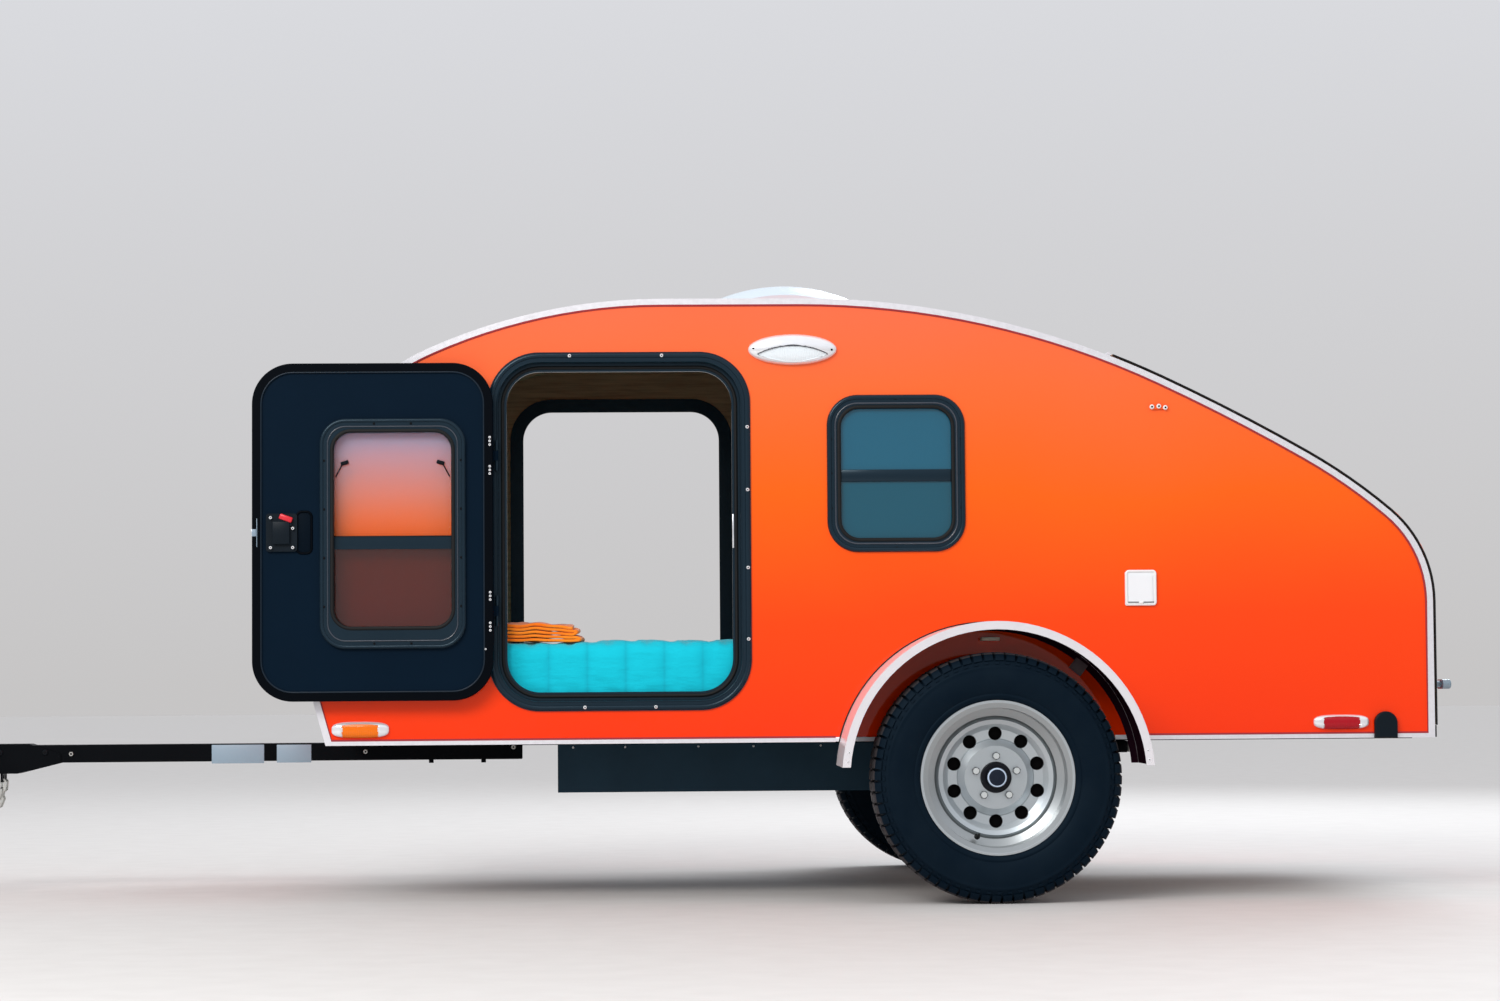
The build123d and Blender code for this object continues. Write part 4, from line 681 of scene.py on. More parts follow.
def mend(mesh, join=0.0):
    """Join points that share a place, if a distance is given, and turn the faces outward."""
    mended = bmesh.new()
    mended.from_mesh(mesh)
    if join:
        bmesh.ops.remove_doubles(mended, verts=mended.verts, dist=join)
    bmesh.ops.recalc_face_normals(mended, faces=mended.faces)
    mended.to_mesh(mesh)
    mended.free()


def mesh_piece(name, points, faces, finish, body="body"):
    mesh = bpy.data.meshes.new(name)
    mesh.from_pydata([tuple(map(float, p)) for p in points], [], faces)
    mend(mesh, SAME_PLACE)
    mesh.shade_smooth()
    mesh.set_sharp_from_angle(angle=math.radians(35))
    return link_piece(name, mesh, finish, body)


def joined(rows, pairs):
    """Points of rings of equal length, and the faces between each pair of ring numbers."""
    count = len(rows[0])
    faces = []
    for a, b in pairs:
        for j in range(count):
            k = (j + 1) % count
            faces.append((a * count + j, a * count + k, b * count + k, b * count + j))
    return [p for row in rows for p in row], faces


def closed_strip(rows):
    """A skin whose last ring is joined to its first."""
    return joined(rows, [(i, (i + 1) % len(rows)) for i in range(len(rows))])


def open_strip(rows):
    """A skin with flat ends."""
    points, faces = joined(rows, [(i, i + 1) for i in range(len(rows) - 1)])
    count = len(rows[0])
    faces.append(tuple(reversed(range(count))))
    faces.append(tuple(range(len(points) - count, len(points))))
    return points, faces


print("three rings of four points make", len(open_strip([[(0, 0, 0)] * 4] * 3)[1]), "faces")

# %% [markdown]
# Most trim on this trailer follows a rectangle with round corners, and the wheels are turned shapes. One
# helper sweeps a small closed section around such a loop, and another turns a profile about an axle. A
# curve with a bevel would sweep too, but it can't hold a bead's flat foot at an exact distance from the
# middle. Left and right sides are made from the same call, with Y mirrored.

# %% Round-cornered loops and turned profiles
SIDES = (("left", -1), ("right", 1))
CORNER_STEPS = 10


def round_loop(width, height, corner):
    """Points and outward directions around a rectangle with round corners, in two axes."""
    loop = []
    for sx, sz, start in ((1, 1, 0), (-1, 1, 90), (-1, -1, 180), (1, -1, 270)):
        for step in range(CORNER_STEPS + 1):
            angle = math.radians(start + 90 * step / CORNER_STEPS)
            out = (math.cos(angle), math.sin(angle))
            loop.append((sx * (width / 2 - corner) + corner * out[0],
                         sz * (height / 2 - corner) + corner * out[1], *out))
    return loop


def swept_frame(name, station, height, size, section, finish, body, side):
    """A closed section swept around a round-cornered loop on one side of the body.

    size is (width, height, corner) in millimetres; section holds (outwards, |Y|) pairs."""
    width, tall, corner = (v * MM for v in size)
    rows = [[(x_at(station) + px + nx * out * MM, side * y * MM, z_at(height) + pz + nz * out * MM)
             for out, y in section] for px, pz, nx, nz in round_loop(width, tall, corner)]
    points, faces = closed_strip(rows)
    return mesh_piece(name, points, faces, finish, body)


def lathe(profile, steps, centre):
    """A closed profile of (radius, Y offset) pairs turned around the Y axis at a centre."""
    rows = []
    for step in range(steps):
        angle = 2 * math.pi * step / steps
        c, s = math.cos(angle), math.sin(angle)
        rows.append([(centre[0] + r * c, centre[1] + y, centre[2] + r * s) for r, y in profile])
    return closed_strip(rows)


print("points on a round-cornered loop:", len(round_loop(1.0, 1.0, 0.1)))

# %% [markdown]
# Anything that repeats comes from a Geometry Nodes tree. This one takes a cloud of points, each with a
# facing direction, and stands a small screw head on every point: a cone for the head and a hexagon for
# the drive. The head's sizes are named inputs, so one tree serves rivets, screws and bolts alike.

# %% Screw tree
# Columns: title, kind of socket, value
SCREW_INPUTS = (("Points", "Geometry", None), ("Head Radius", "Float", 0.004),
                ("Head Height", "Float", 0.0018), ("Drive Share", "Float", 0.45),
                ("Finish", "Material", None), ("Drive Finish", "Material", None))
HEAD_SIDES, DRIVE_SIDES = 12, 6
HEAD_TAPER = 0.72        # the head's top radius, as a share of its foot's
DRIVE_RISE = 1.06        # the drive stands a little out of the head


def start_tree(name, inputs, output):
    """A Geometry Nodes tree with a wire for each named input, and the socket of its result."""
    tree = bpy.data.node_groups.new(name, "GeometryNodeTree")
    tree.is_modifier = True
    for title, kind, value in inputs:
        socket = tree.interface.new_socket(title, in_out="INPUT", socket_type="NodeSocket" + kind)
        if value is not None:
            socket.default_value = value
    tree.interface.new_socket(output, in_out="OUTPUT", socket_type="NodeSocketGeometry")
    given = tree.nodes.new("NodeGroupInput").outputs
    result = tree.nodes.new("NodeGroupOutput").inputs[0]
    return tree, {title: Wire(tree, given[title]) for title, _, _ in inputs}, result


def screw_tree():
    tree, given, result = start_tree("screw_heads", SCREW_INPUTS, "Screws")
    radius, height = given["Head Radius"], given["Head Height"]
    head = add_node(tree, "GeometryNodeMeshCone", out="Mesh", Vertices=HEAD_SIDES,
                    Radius_Top=radius * HEAD_TAPER, Radius_Bottom=radius, Depth=height)
    share = radius * given["Drive Share"]
    drive = add_node(tree, "GeometryNodeMeshCone", out="Mesh", Vertices=DRIVE_SIDES,
                     Radius_Top=share, Radius_Bottom=share, Depth=height * DRIVE_RISE)
    both = tree.nodes.new("GeometryNodeJoinGeometry")
    for part, finish in ((head, "Finish"), (drive, "Drive Finish")):
        dressed = add_node(tree, "GeometryNodeSetMaterial", Geometry=part, Material=given[finish])
        connect(tree, both.inputs[0], dressed)
    facing = add_node(tree, "GeometryNodeInputNamedAttribute", {"data_type": "FLOAT_VECTOR"},
                      out="Attribute", Name="facing")
    align = add_node(tree, "FunctionNodeAlignRotationToVector", {"axis": "Z"}, Vector=facing)
    stand = add_node(tree, "GeometryNodeInstanceOnPoints", Points=given["Points"],
                     Instance=Wire(tree, both.outputs[0]), Rotation=align)
    connect(tree, result, add_node(tree, "GeometryNodeRealizeInstances", Geometry=stand))
    return tree


screws = screw_tree()
print("screw tree has", len(screws.nodes), "nodes")

# %% [markdown]
# A tree's result is baked to a plain mesh for each body, because the closing export keeps no instances.
# The points and their directions come from Python as a mesh without faces. Screws are zinc plated steel
# or blackened, and their drives are always painted dark: painted shade, as a recess shows as a dark spot
# from afar.

# %% Baking a tree, and screws on places
def bake(name, seed_mesh, tree, body, slot, **inputs):
    """Run a Geometry Nodes tree on a seed mesh and keep the result as a plain piece."""
    carrier = bpy.data.objects.new(name + "_seed", seed_mesh)
    bpy.context.scene.collection.objects.link(carrier)
    modifier = carrier.modifiers.new("nodes", "NODES")
    modifier.node_group = tree
    for item in tree.interface.items_tree:
        key = item.name.replace(" ", "_")
        if item.in_out == "INPUT" and key in inputs:
            modifier[item.identifier] = inputs[key]
    shown = carrier.evaluated_get(bpy.context.evaluated_depsgraph_get())
    mesh = bpy.data.meshes.new_from_object(shown)
    mesh.name = name
    bpy.data.objects.remove(carrier)
    mesh.shade_smooth()
    mesh.set_sharp_from_angle(angle=math.radians(35))
    return link_piece(name, mesh, None, body)


def point_cloud(places):
    mesh = bpy.data.meshes.new("places")
    mesh.from_pydata([tuple(p) for p, _ in places], [], [])
    facing = mesh.attributes.new("facing", "FLOAT_VECTOR", "POINT")
    for value, (_, direction) in zip(facing.data, places):
        value.vector = direction
    return mesh


# Painted shade: drives are dark as a recess would be.
drive_dark = powder_coat("screw_drive", (0.004, 0.004, 0.005), 0.6)
screw_steel = satin_metal("screw_steel", (0.92, 0.93, 0.95), 0.38, spread=0.08, metallic=0.35)
screw_black = powder_coat("screw_black", (0.006, 0.007, 0.009), 0.35)


def screw_heads(name, places, radius, height, finish=screw_steel, body="body", slot="steel_zinc"):
    """places holds (point, outward direction) pairs; sizes are in millimetres."""
    bake(name, point_cloud(places), screws, body, slot, Head_Radius=radius * MM,
         Head_Height=height * MM, Finish=finish.material, Drive_Finish=drive_dark.material)


print("screw finishes:", screw_steel.material.name, "and", screw_black.material.name)

# %% [markdown]
# The tyre is the largest black shape in view. Its casing is turned from one cross-section: a bead that
# sits on the rim, a protector rib, a tall plain sidewall that bulges to its full width, and a shoulder
# that drops to the tread's grooves. Turning a profile is how a tyre is moulded, and it keeps the
# section's sizes in one short list.

# %% Tyre casing
WHEEL_Y = 0.937
TYRE_R = 334.0
GROOVE = 8.5
RIM_SEAT_R = 206.5
CASING_STEPS = 144
# Half section from the bead out to the tread. Columns: radius, distance from the wheel's middle.
CASING_HALF = [(RIM_SEAT_R, 80.0), (RIM_SEAT_R + 1, 89.5), (211.0, 92.5), (217.0, 95.2), (221.0, 95.4),
               (223.5, 94.2), (226.0, 95.6), (236.0, 98.8), (250.0, 101.4), (262.0, 102.4),
               (274.0, 102.2), (284.0, 101.0), (291.0, 99.6), (293.5, 100.2), (297.0, 99.4),
               (299.5, 97.0), (307.0, 93.6), (313.0, 90.0), (319.0, 83.5), (TYRE_R - GROOVE - 3, 74.0),
               (TYRE_R - GROOVE - 1, 56.0), (TYRE_R - GROOVE, 30.0)]
CASING_INNER = [(TYRE_R - 22, 0.0), (TYRE_R - 26, 60.0), (300.0, 82.0), (262.0, 92.0), (225.0, 84.0),
                (RIM_SEAT_R + 5, 72.0)]


def casing_section():
    outer = CASING_HALF + [(r, -y) for r, y in reversed(CASING_HALF)]
    inner = [(r, -y) for r, y in reversed(CASING_INNER)] + CASING_INNER[1:]
    return [(r * MM, y * MM) for r, y in outer + inner]


def wheel_centre(side):
    return (WHEEL_X, side * WHEEL_Y, WHEEL_Z)


for side_name, side in SIDES:
    points, faces = lathe(casing_section(), CASING_STEPS, wheel_centre(side))
    casing = mesh_piece(f"tyre_casing_{side_name}", points, faces, tyre_rubber, f"wheel_{side_name}")
    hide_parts(f"tyre_{side_name}")
print("casing faces:", len(faces))

# %% [markdown]
# The tread has rows of blocks with sharp grooves between them, and the shoulder blocks wrap over the
# edge, where they show from the side as small lugs all round. Each row is one block repeated around
# the axle, so a Geometry Nodes tree turns a block by equal steps. Count and turn are named inputs.

# %% Ring of copies
RING_INPUTS = (("Block", "Geometry", None), ("Count", "Int", 12), ("Start", "Float", 0.0),
               ("Finish", "Material", None))


def ring_tree():
    tree, given, result = start_tree("ring_of_copies", RING_INPUTS, "Ring")
    line = add_node(tree, "GeometryNodeMeshLine", Offset=(0, 0, 0), Count=given["Count"])
    index = add_node(tree, "GeometryNodeInputIndex")
    turn = index / given["Count"] * (2 * math.pi) + given["Start"]
    spin = add_node(tree, "ShaderNodeCombineXYZ", Y=turn)
    copies = add_node(tree, "GeometryNodeInstanceOnPoints", Points=line, Instance=given["Block"],
                      Rotation=spin)
    real = add_node(tree, "GeometryNodeRealizeInstances", Geometry=copies)
    dressed = add_node(tree, "GeometryNodeSetMaterial", Geometry=real, Material=given["Finish"])
    connect(tree, result, dressed)
    return tree


ring_copies = ring_tree()
print("ring tree has", len(ring_copies.nodes), "nodes")

# %% [markdown]
# A tread block tapers as it rises, so that it leaves its mould, and it leans across the tread. It could
# be a cube with its corners moved, but a section carried through four turns of the axle also follows
# the tyre's roundness.

# %% One ring of blocks
BLOCK_TAPER = 0.9        # a block's length at its top, as a share of its foot's
BLOCK_CUTS = (-1.0, -0.35, 0.35, 1.0)


def block_mesh(section, half_angle, lean):
    """A block between two turns of the axle: section holds (radius, Y) pairs, foot first."""
    low = min(r for r, _ in section)
    high = max(r for r, _ in section)
    rows = []
    for share in BLOCK_CUTS:
        row = []
        for radius, y in section:
            rise = (radius - low) / (high - low)
            angle = half_angle * share * (1 - (1 - BLOCK_TAPER) * rise) + lean * y * MM
            row.append((radius * MM * math.sin(angle), y * MM, radius * MM * math.cos(angle)))
        rows.append(row)
    return open_strip(rows)


def ring_piece(name, section, count, fill, start, lean, finish, centre, body, slot):
    """Blocks that fill a share of each step around the axle, from a start turn."""
    points, faces = block_mesh(section, math.pi / count * fill, lean)
    seed = bpy.data.meshes.new(name)
    seed.from_pydata(points, [], faces)
    mend(seed)
    piece = bake(name, seed, ring_copies, body, slot, Count=count, Start=start, Finish=finish.material)
    piece.data.transform(Matrix.Translation(centre))


print("cuts along a block:", len(BLOCK_CUTS))

# %% [markdown]
# The rows are a cut rib in the middle, blocks on both sides of it, shoulder blocks, and lugs on the
# sidewall. Rows on the left and right halves are set half a step apart, as on a real mould. A bump map
# could draw the tread, but the lugs stand out against the fender's shadow, so they are real blocks.

# %% Tread rows
TREAD_COUNT = 68
# Outlines of the blocks' cross-sections, foot first. Columns: radius, distance from the middle.
SHOULDER_BLOCK = [(309.0, 88.0), (312.0, 94.6), (319.0, 91.8), (326.0, 87.6), (331.0, 82.0),
                  (332.6, 74.0), (333.2, 60.0), (320.0, 58.0), (314.0, 84.0)]
INNER_BLOCK = [(320.0, 20.0), (333.6, 21.0), (333.6, 52.0), (320.0, 53.0)]
MIDDLE_RIB = [(320.0, -13.0), (334.0, -12.0), (334.0, 12.0), (320.0, 13.0)]
SIDE_LUG = [(300.0, 94.0), (302.0, 98.0), (308.0, 96.4), (310.0, 90.0)]


def mirrored(section):
    return [(r, -y) for r, y in reversed(section)]


half_step = math.pi / TREAD_COUNT
# Columns: name, section, share of the pitch filled, start turn, lean with Y
TREAD_ROWS = [
    ("shoulder_out", SHOULDER_BLOCK, 0.80, 0.0, 0.25),
    ("shoulder_in", mirrored(SHOULDER_BLOCK), 0.80, half_step, 0.25),
    ("block_out", INNER_BLOCK, 0.84, half_step, -0.5),
    ("block_in", mirrored(INNER_BLOCK), 0.84, 0.0, -0.5),
    ("rib", MIDDLE_RIB, 0.93, half_step / 2, 0.6),
    ("lug_out", SIDE_LUG, 0.42, half_step, 0.0),
    ("lug_in", mirrored(SIDE_LUG), 0.42, 0.0, 0.0),
]
for side_name, side in SIDES:
    for row, section, fill, start, lean in TREAD_ROWS:
        ring_piece(f"tread_{row}_{side_name}", section, TREAD_COUNT, fill, start, lean, tyre_rubber,
                   wheel_centre(side), f"wheel_{side_name}", "tyre_rubber")
print("tread blocks on a wheel:", TREAD_COUNT * len(TREAD_ROWS))

# %% [markdown]
# The steel rim, its hub, its nuts and its cap come from the frame, so only a rubber valve is added. It
# snaps through a hole near the rim's edge and leans towards the axle. A turned profile gives its collar
# and its cap, and a second helper stands such a profile anywhere.

# %% Valves
VALVE_TURN = 251.0       # degrees round the axle
VALVE_R = 166.0
VALVE_OUT = 0.052        # the valve's foot, out from the wheel's middle
VALVE_LEAN = 0.25
VALVE_STEPS = 16
# Columns: radius, height over the foot
VALVE = [(0.0, 30.0), (2.6, 30.0), (3.6, 29.0), (3.6, 20.0), (3.0, 18.0), (4.4, 15.0), (5.6, 4.0),
         (8.0, 2.0), (8.0, 0.0), (0.0, 0.0)]


def turned(profile, steps):
    """Points and faces of a profile of (radius, Z) pairs turned around Z, closed at its ends."""
    points, faces = [], []
    for step in range(steps):
        angle = 2 * math.pi * step / steps
        points += [(r * MM * math.cos(angle), r * MM * math.sin(angle), z * MM) for r, z in profile]
    count = len(profile)
    for i in range(steps):
        k = (i + 1) % steps
        for j in range(count - 1):
            faces.append((i * count + j, k * count + j, k * count + j + 1, i * count + j + 1))
    return points, faces


def placed(points, origin, axis):
    """Move points that were made around Z so that Z runs along an axis from an origin."""
    spin = Vector(axis).to_track_quat("Z", "Y").to_matrix()
    return [Vector(origin) + spin @ Vector(p) for p in points]


out_x, out_z = math.cos(math.radians(VALVE_TURN)), math.sin(math.radians(VALVE_TURN))
for side_name, side in SIDES:
    spot = Vector((WHEEL_X + VALVE_R * MM * out_x, side * (WHEEL_Y + VALVE_OUT),
                   WHEEL_Z + VALVE_R * MM * out_z))
    points, faces = turned(VALVE, VALVE_STEPS)
    stem = placed(points, spot, (-VALVE_LEAN * out_x, side, -VALVE_LEAN * out_z))
    mesh_piece(f"valve_{side_name}", stem, faces, seal_rubber, f"wheel_{side_name}")
print("valve faces:", len(faces))

# %% [markdown]
# Through the rim's holes the photograph shows only dark. A plain brake drum behind the disc does that:
# its face closes the view between the hub and the rim's barrel, and it turns with the wheel.

# %% Brake drums
DRUM_STEPS = 96
# Columns: radius, distance out from the wheel's middle
DRUM = [(37.0, -4.0), (37.0, 3.0), (60.0, 3.0), (66.0, 5.5), (150.0, 5.5), (155.0, 2.0), (156.0, -4.0)]
drum_black = powder_coat("drum_black", (0.0012, 0.0010, 0.0012), 0.6)
for side_name, side in SIDES:
    points, faces = lathe([(r * MM, y * MM * side) for r, y in DRUM], DRUM_STEPS, wheel_centre(side))
    mesh_piece(f"brake_drum_{side_name}", points, faces, drum_black, f"wheel_{side_name}")
print("drum radius:", DRUM[-1][0])

# %% [markdown]
# Each door opening has a flange with a rolled bead near its outer edge and a rubber bulb on the stop
# lip, which the closed door presses flat. The windows have a clamped ring: a bead outside, a bevel, and
# a soft gasket that holds the glass. All are small sections swept round their frame's own loop, so the
# light catches them as the two or three fine lines that such frames show.

# %% Beads and gaskets
DOOR_STATION, DOOR_HEIGHT = 916.5, 579.0
FRAME_SIZE = (717.0, 980.0, 140.0)
LIP_SIZE = (616.0, 877.0, 90.0)
LEAF_STATION = 247.5
LEAF_SIZE = (652.0, 917.0, 110.0)
RING_STATION, RING_HEIGHT = 302.0, 574.0
RING_SIZE = (395.0, 625.0, 70.0)
GLASS_SIZE = (320.0, 528.0, 48.0)
GLASS_HEIGHT = 585.0
WINDOW_STATION = 1674.0
WINDOW_SIZE = (379.0, 431.0, 84.0)
PANE_SIZE = (305.0, 357.0, 52.0)
# Outer faces, in millimetres from the middle of the body.
LEAF_FACE, RING_FACE, WINDOW_RING_FACE = 813.0, 819.0, 768.0
BEAD_SUNK = 0.6          # how far a bead's foot lies inside its face


def grown(size, by):
    return (size[0] + 2 * by, size[1] + 2 * by, size[2] + by)


def half_round(out, face, width, rise, steps=7):
    """Section of a bead: its middle, the face it stands on, its width and its height."""
    arc = [math.pi * k / (steps - 1) for k in range(steps)]
    bead = [(out + width / 2 * math.cos(a), face + rise * math.sin(a)) for a in arc]
    return bead + [(out - width / 2, face - BEAD_SUNK), (out + width / 2, face - BEAD_SUNK)]


bright_step = moulded("step_moulding", (0.020, 0.028, 0.042), 0.20, grain=1200, relief=0.05, shine=0.8)
rim_line = moulded("rim_line", (0.0022, 0.0095, 0.0190), 0.34, relief=0.1, shine=0.25)
# Columns: name, station, height, loop, section, finish, body prefix
BEADS = [
    ("door_flange_bead", DOOR_STATION, DOOR_HEIGHT, grown(FRAME_SIZE, -9),
     half_round(0, 766, 13, 4.0), frame_plastic, None),
    ("door_flange_edge", DOOR_STATION, DOOR_HEIGHT, grown(FRAME_SIZE, -25.5),
     half_round(0, WALL_FACE, 5, 5.5), frame_plastic, None),
    ("door_bulb_seal", DOOR_STATION, DOOR_HEIGHT, grown(LIP_SIZE, 11),
     half_round(0, 739, 10, 3.8), seal_rubber, None),
    ("leaf_rim_bead", LEAF_STATION, DOOR_HEIGHT, grown(LEAF_SIZE, -25),
     half_round(0, LEAF_FACE, 4, 1.4), rim_line, "door"),
    ("leaf_ring_bead", RING_STATION, RING_HEIGHT, grown(RING_SIZE, -6),
     half_round(0, RING_FACE, 9, 3.2), frame_plastic, "door"),
    ("leaf_ring_step", RING_STATION, RING_HEIGHT, grown(RING_SIZE, -22),
     half_round(0, RING_FACE, 4, 2.4), bright_step, "door"),
    ("leaf_pane_gasket", RING_STATION, GLASS_HEIGHT, grown(GLASS_SIZE, 4),
     half_round(0, 817, 11, 5.0), seal_rubber, "door"),
    ("window_bead", WINDOW_STATION, WINDOW_HEIGHT, grown(WINDOW_SIZE, -7),
     half_round(0, WINDOW_RING_FACE, 11, 3.5), frame_plastic, None),
    ("window_step", WINDOW_STATION, WINDOW_HEIGHT, grown(WINDOW_SIZE, -23),
     half_round(0, WINDOW_RING_FACE, 5, 2.6), bright_step, None),
    ("window_gasket", WINDOW_STATION, WINDOW_HEIGHT, grown(PANE_SIZE, 4),
     half_round(0, 766, 11, 4.2), seal_rubber, None),
]
for name, station, height, loop, section, finish, prefix in BEADS:
    for side_name, side in SIDES:
        body = f"{prefix}_{side_name}" if prefix else "body"
        swept_frame(f"{name}_{side_name}", station, height, loop, section, finish, body, side)
print("beads and gaskets:", 2 * len(BEADS))

# %% [markdown]
# Screws show as small bright dots round the door flange and on the latch, and as dark ones round the
# window rings. Their places come from the photograph as distances from the middle of each frame, in
# millimetres, and the same list serves both sides.

# %% Screws on doors and windows
FLANGE_SCREWS = [(-135, 480), (117, 480), (350, 283), (350, 111), (350, -102), (350, -297), (-97, -480),
                 (96, -480), (-350, 283), (-350, 111), (-350, -102), (-350, -297)]
RING_SCREWS = [(sx * 185, z) for sx in (-1, 1) for z in (-198, -66, 66, 198)]
RING_SCREWS += [(-50, -298), (50, -298), (-50, 298), (50, 298)]
WINDOW_SCREWS = [(sx * 178, z) for sx in (-1, 1) for z in (-95, 0, 95)] + [(0, 204), (0, -204)]
HINGE_SCREWS = [(0, level + k * 10) for level in (824, 745, 403, 320) for k in (-1, 0, 1)]
LATCH_STATION, LATCH_HEIGHT = 2.0, 578.0
LATCH_SCREWS = [(-29, 40), (31, 11), (-29, -41), (31, -41)]
LATCH_FACE = 825.0
# Columns: name, station, height, places, face, head radius, head height, finish, body prefix
SCREWS = [
    ("flange_screws", DOOR_STATION, DOOR_HEIGHT, FLANGE_SCREWS, 769.6, 5.0, 2.8, screw_steel, None),
    ("ring_screws", RING_STATION, RING_HEIGHT, RING_SCREWS, RING_FACE, 3.6, 2.0, screw_black, "door"),
    ("window_screws", WINDOW_STATION, WINDOW_HEIGHT, WINDOW_SCREWS, WINDOW_RING_FACE, 3.4, 1.8,
     screw_black, None),
    ("hinge_screws", 565.0, 0, HINGE_SCREWS, LEAF_FACE, 3.4, 0.8, screw_steel, "door"),
    ("latch_screws", LATCH_STATION, LATCH_HEIGHT, LATCH_SCREWS, LATCH_FACE, 4.4, 2.2, screw_steel,
     "door"),
    ("leaf_screw", 552.0, 259.0, [(0, 0)], LEAF_FACE, 3.0, 1.8, screw_steel, "door"),
]


def side_places(station, height, offsets, face, side):
    return [(Vector((x_at(station + dx), side * face * MM, z_at(height + dz))), (0, side, 0))
            for dx, dz in offsets]


for side_name, side in SIDES:
    for name, station, height, offsets, face, radius, rise, finish, prefix in SCREWS:
        body = f"{prefix}_{side_name}" if prefix else "body"
        screw_heads(f"{name}_{side_name}", side_places(station, height, offsets, face, side), radius,
                    rise, finish, body)
print("screws on a side:", sum(len(row[3]) for row in SCREWS))

# %% [markdown]
# The lamps' lenses are moulded with fine ribs inside, which spread the light. They are opaque here: a
# bright body colour under a clear coat reads as a lens that is lit by the day. Ribs are a sine along the
# trailer, given to Bump. The hoods are chromed plastic, less bright than the chromed steel, and half of
# their whiteness is diffuse colour: a painted reflection of a bright sky.

# %% Lenses
lens_clear = Finish("clear_lens", (0.78, 0.84, 0.88), 0.10, Coat_Weight=1.0, Coat_Roughness=0.02)
lens_red = Finish("marker_red", (0.40, 0.001, 0.010), 0.14, Coat_Weight=1.0, Coat_Roughness=0.03,
                  Coat_IOR=1.3, Specular_IOR_Level=0.1)
lens_amber = Finish("marker_amber", (0.86, 0.17, 0.002), 0.14, Coat_Weight=1.0, Coat_Roughness=0.03,
                    Coat_IOR=1.3, Specular_IOR_Level=0.1)
LENS_RIBS = ((lens_clear, 0.006), (lens_red, 0.005), (lens_amber, 0.005))
for lens, pitch in LENS_RIBS:
    rib = (lens.part(lens.place, 0) * (2 * math.pi / pitch)).sin()
    lens.bump(rib, 0.35, 0.0006)
# Half diffuse white: a painted reflection of a bright sky.
lamp_chrome = satin_metal("lamp_chrome", (0.92, 0.93, 0.96), 0.14, scale=25, spread=0.04, metallic=0.5)
print("ribbed lenses:", len(LENS_RIBS))

# %% [markdown]
# A shape that is round in plan and domed in section suits the lamps: the oval porch lamp is a chrome
# hood that steps down along an arch to a ribbed clear lens, and the marker lamps are chrome slots with
# a coloured lens across the middle. One function makes such a dome on a grid of rings; a rule says
# where the lens is, sinks its points, and sorts the faces between chrome and lens.

# %% Domed lamp
DOME_POWER = 2.6         # how square the dome is in section
DOME_RINGS, DOME_STEPS = 22, 96
LAMP_BASE = 4.0          # straight foot of a lamp, in millimetres


def dome_height(share, rise):
    """Height of a dome at a share of the way from its middle to its edge."""
    return LAMP_BASE + (rise - LAMP_BASE) * math.sqrt(max(0.0, 1 - share ** DOME_POWER))


def dome_lamp(name, station, height, size, power, rise, is_lens, finishes, side, sunk):
    """Domed lamp on the wall. size is (half length, half height); power shapes its outline."""
    half_long, half_tall = size

    def spot(share, angle):
        c, s = math.cos(angle), math.sin(angle)
        reach = (abs(c) ** power + abs(s) ** power) ** (-1.0 / power)
        x, z = half_long * share * reach * c, half_tall * share * reach * s
        return x, z, dome_height(share, rise) - (sunk if is_lens(x, z) else 0.0)

    shares = [1.0] + [math.cos(math.pi / 2 * k / DOME_RINGS) ** 0.8 for k in range(1, DOME_RINGS)]
    turns = [2 * math.pi * k / DOME_STEPS for k in range(DOME_STEPS)]
    points = []
    for number, share in enumerate(shares):
        for turn in turns:
            x, z, up = spot(share, turn)
            points.append((x, up if number else LAMP_BASE, z))
    foot = len(points)
    points += [(x, 0.0, z) for x, z, _ in (spot(1.0, turn) for turn in turns)]
    middle = len(points)
    points.append((0.0, rise - (sunk if is_lens(0, 0) else 0), 0.0))
    around = [(k, (k + 1) % DOME_STEPS) for k in range(DOME_STEPS)]
    faces = []
    for number in range(len(shares) - 1):
        a, b = number * DOME_STEPS, (number + 1) * DOME_STEPS
        faces += [(a + k, a + j, b + j, b + k) for k, j in around]
    last = (len(shares) - 1) * DOME_STEPS
    faces += [(last + k, last + j, middle) for k, j in around]
    faces += [(foot + k, foot + j, j, k) for k, j in around]
    faces.append(tuple(foot + k for k in reversed(range(DOME_STEPS))))
    world = [(x_at(station + x), side * (WALL_FACE + y) * MM, z_at(height + z)) for x, y, z in points]
    piece = mesh_piece(name, world, faces, finishes[0], "body")
    piece.data.materials.append(finishes[1].material)
    for polygon in piece.data.polygons:
        centre = polygon.center
        x, z = (centre.x - x_at(station)) / MM, (centre.z - z_at(height)) / MM
        lifted = abs(centre.y) / MM - WALL_FACE > LAMP_BASE - 0.5
        polygon.material_index = 1 if lifted and is_lens(x, z) else 0
    return piece


print("dome of 19 mm at half way:", round(dome_height(0.5, 19.0), 1), "mm")

# %% [markdown]
# The porch lamp is an oval over the door, and its lens lies under an arch between two parabolas. The
# marker lamps are flat ovals near the front and rear corners, amber ahead and red behind. The frame has
# plain blocks for all of them, and the domes take their place.

# %% Lamps on both sides
PORCH_STATION, PORCH_HEIGHT = 1392.0, 1074.0
PORCH_SIZE = (121.5, 42.0)
PORCH_RISE, MARKER_RISE = 27.0, 19.0
ARCH_TOP, ARCH_FALL = 9.0, 0.0024
PORCH_SCREWS = [(-107, 3), (107, -2)]
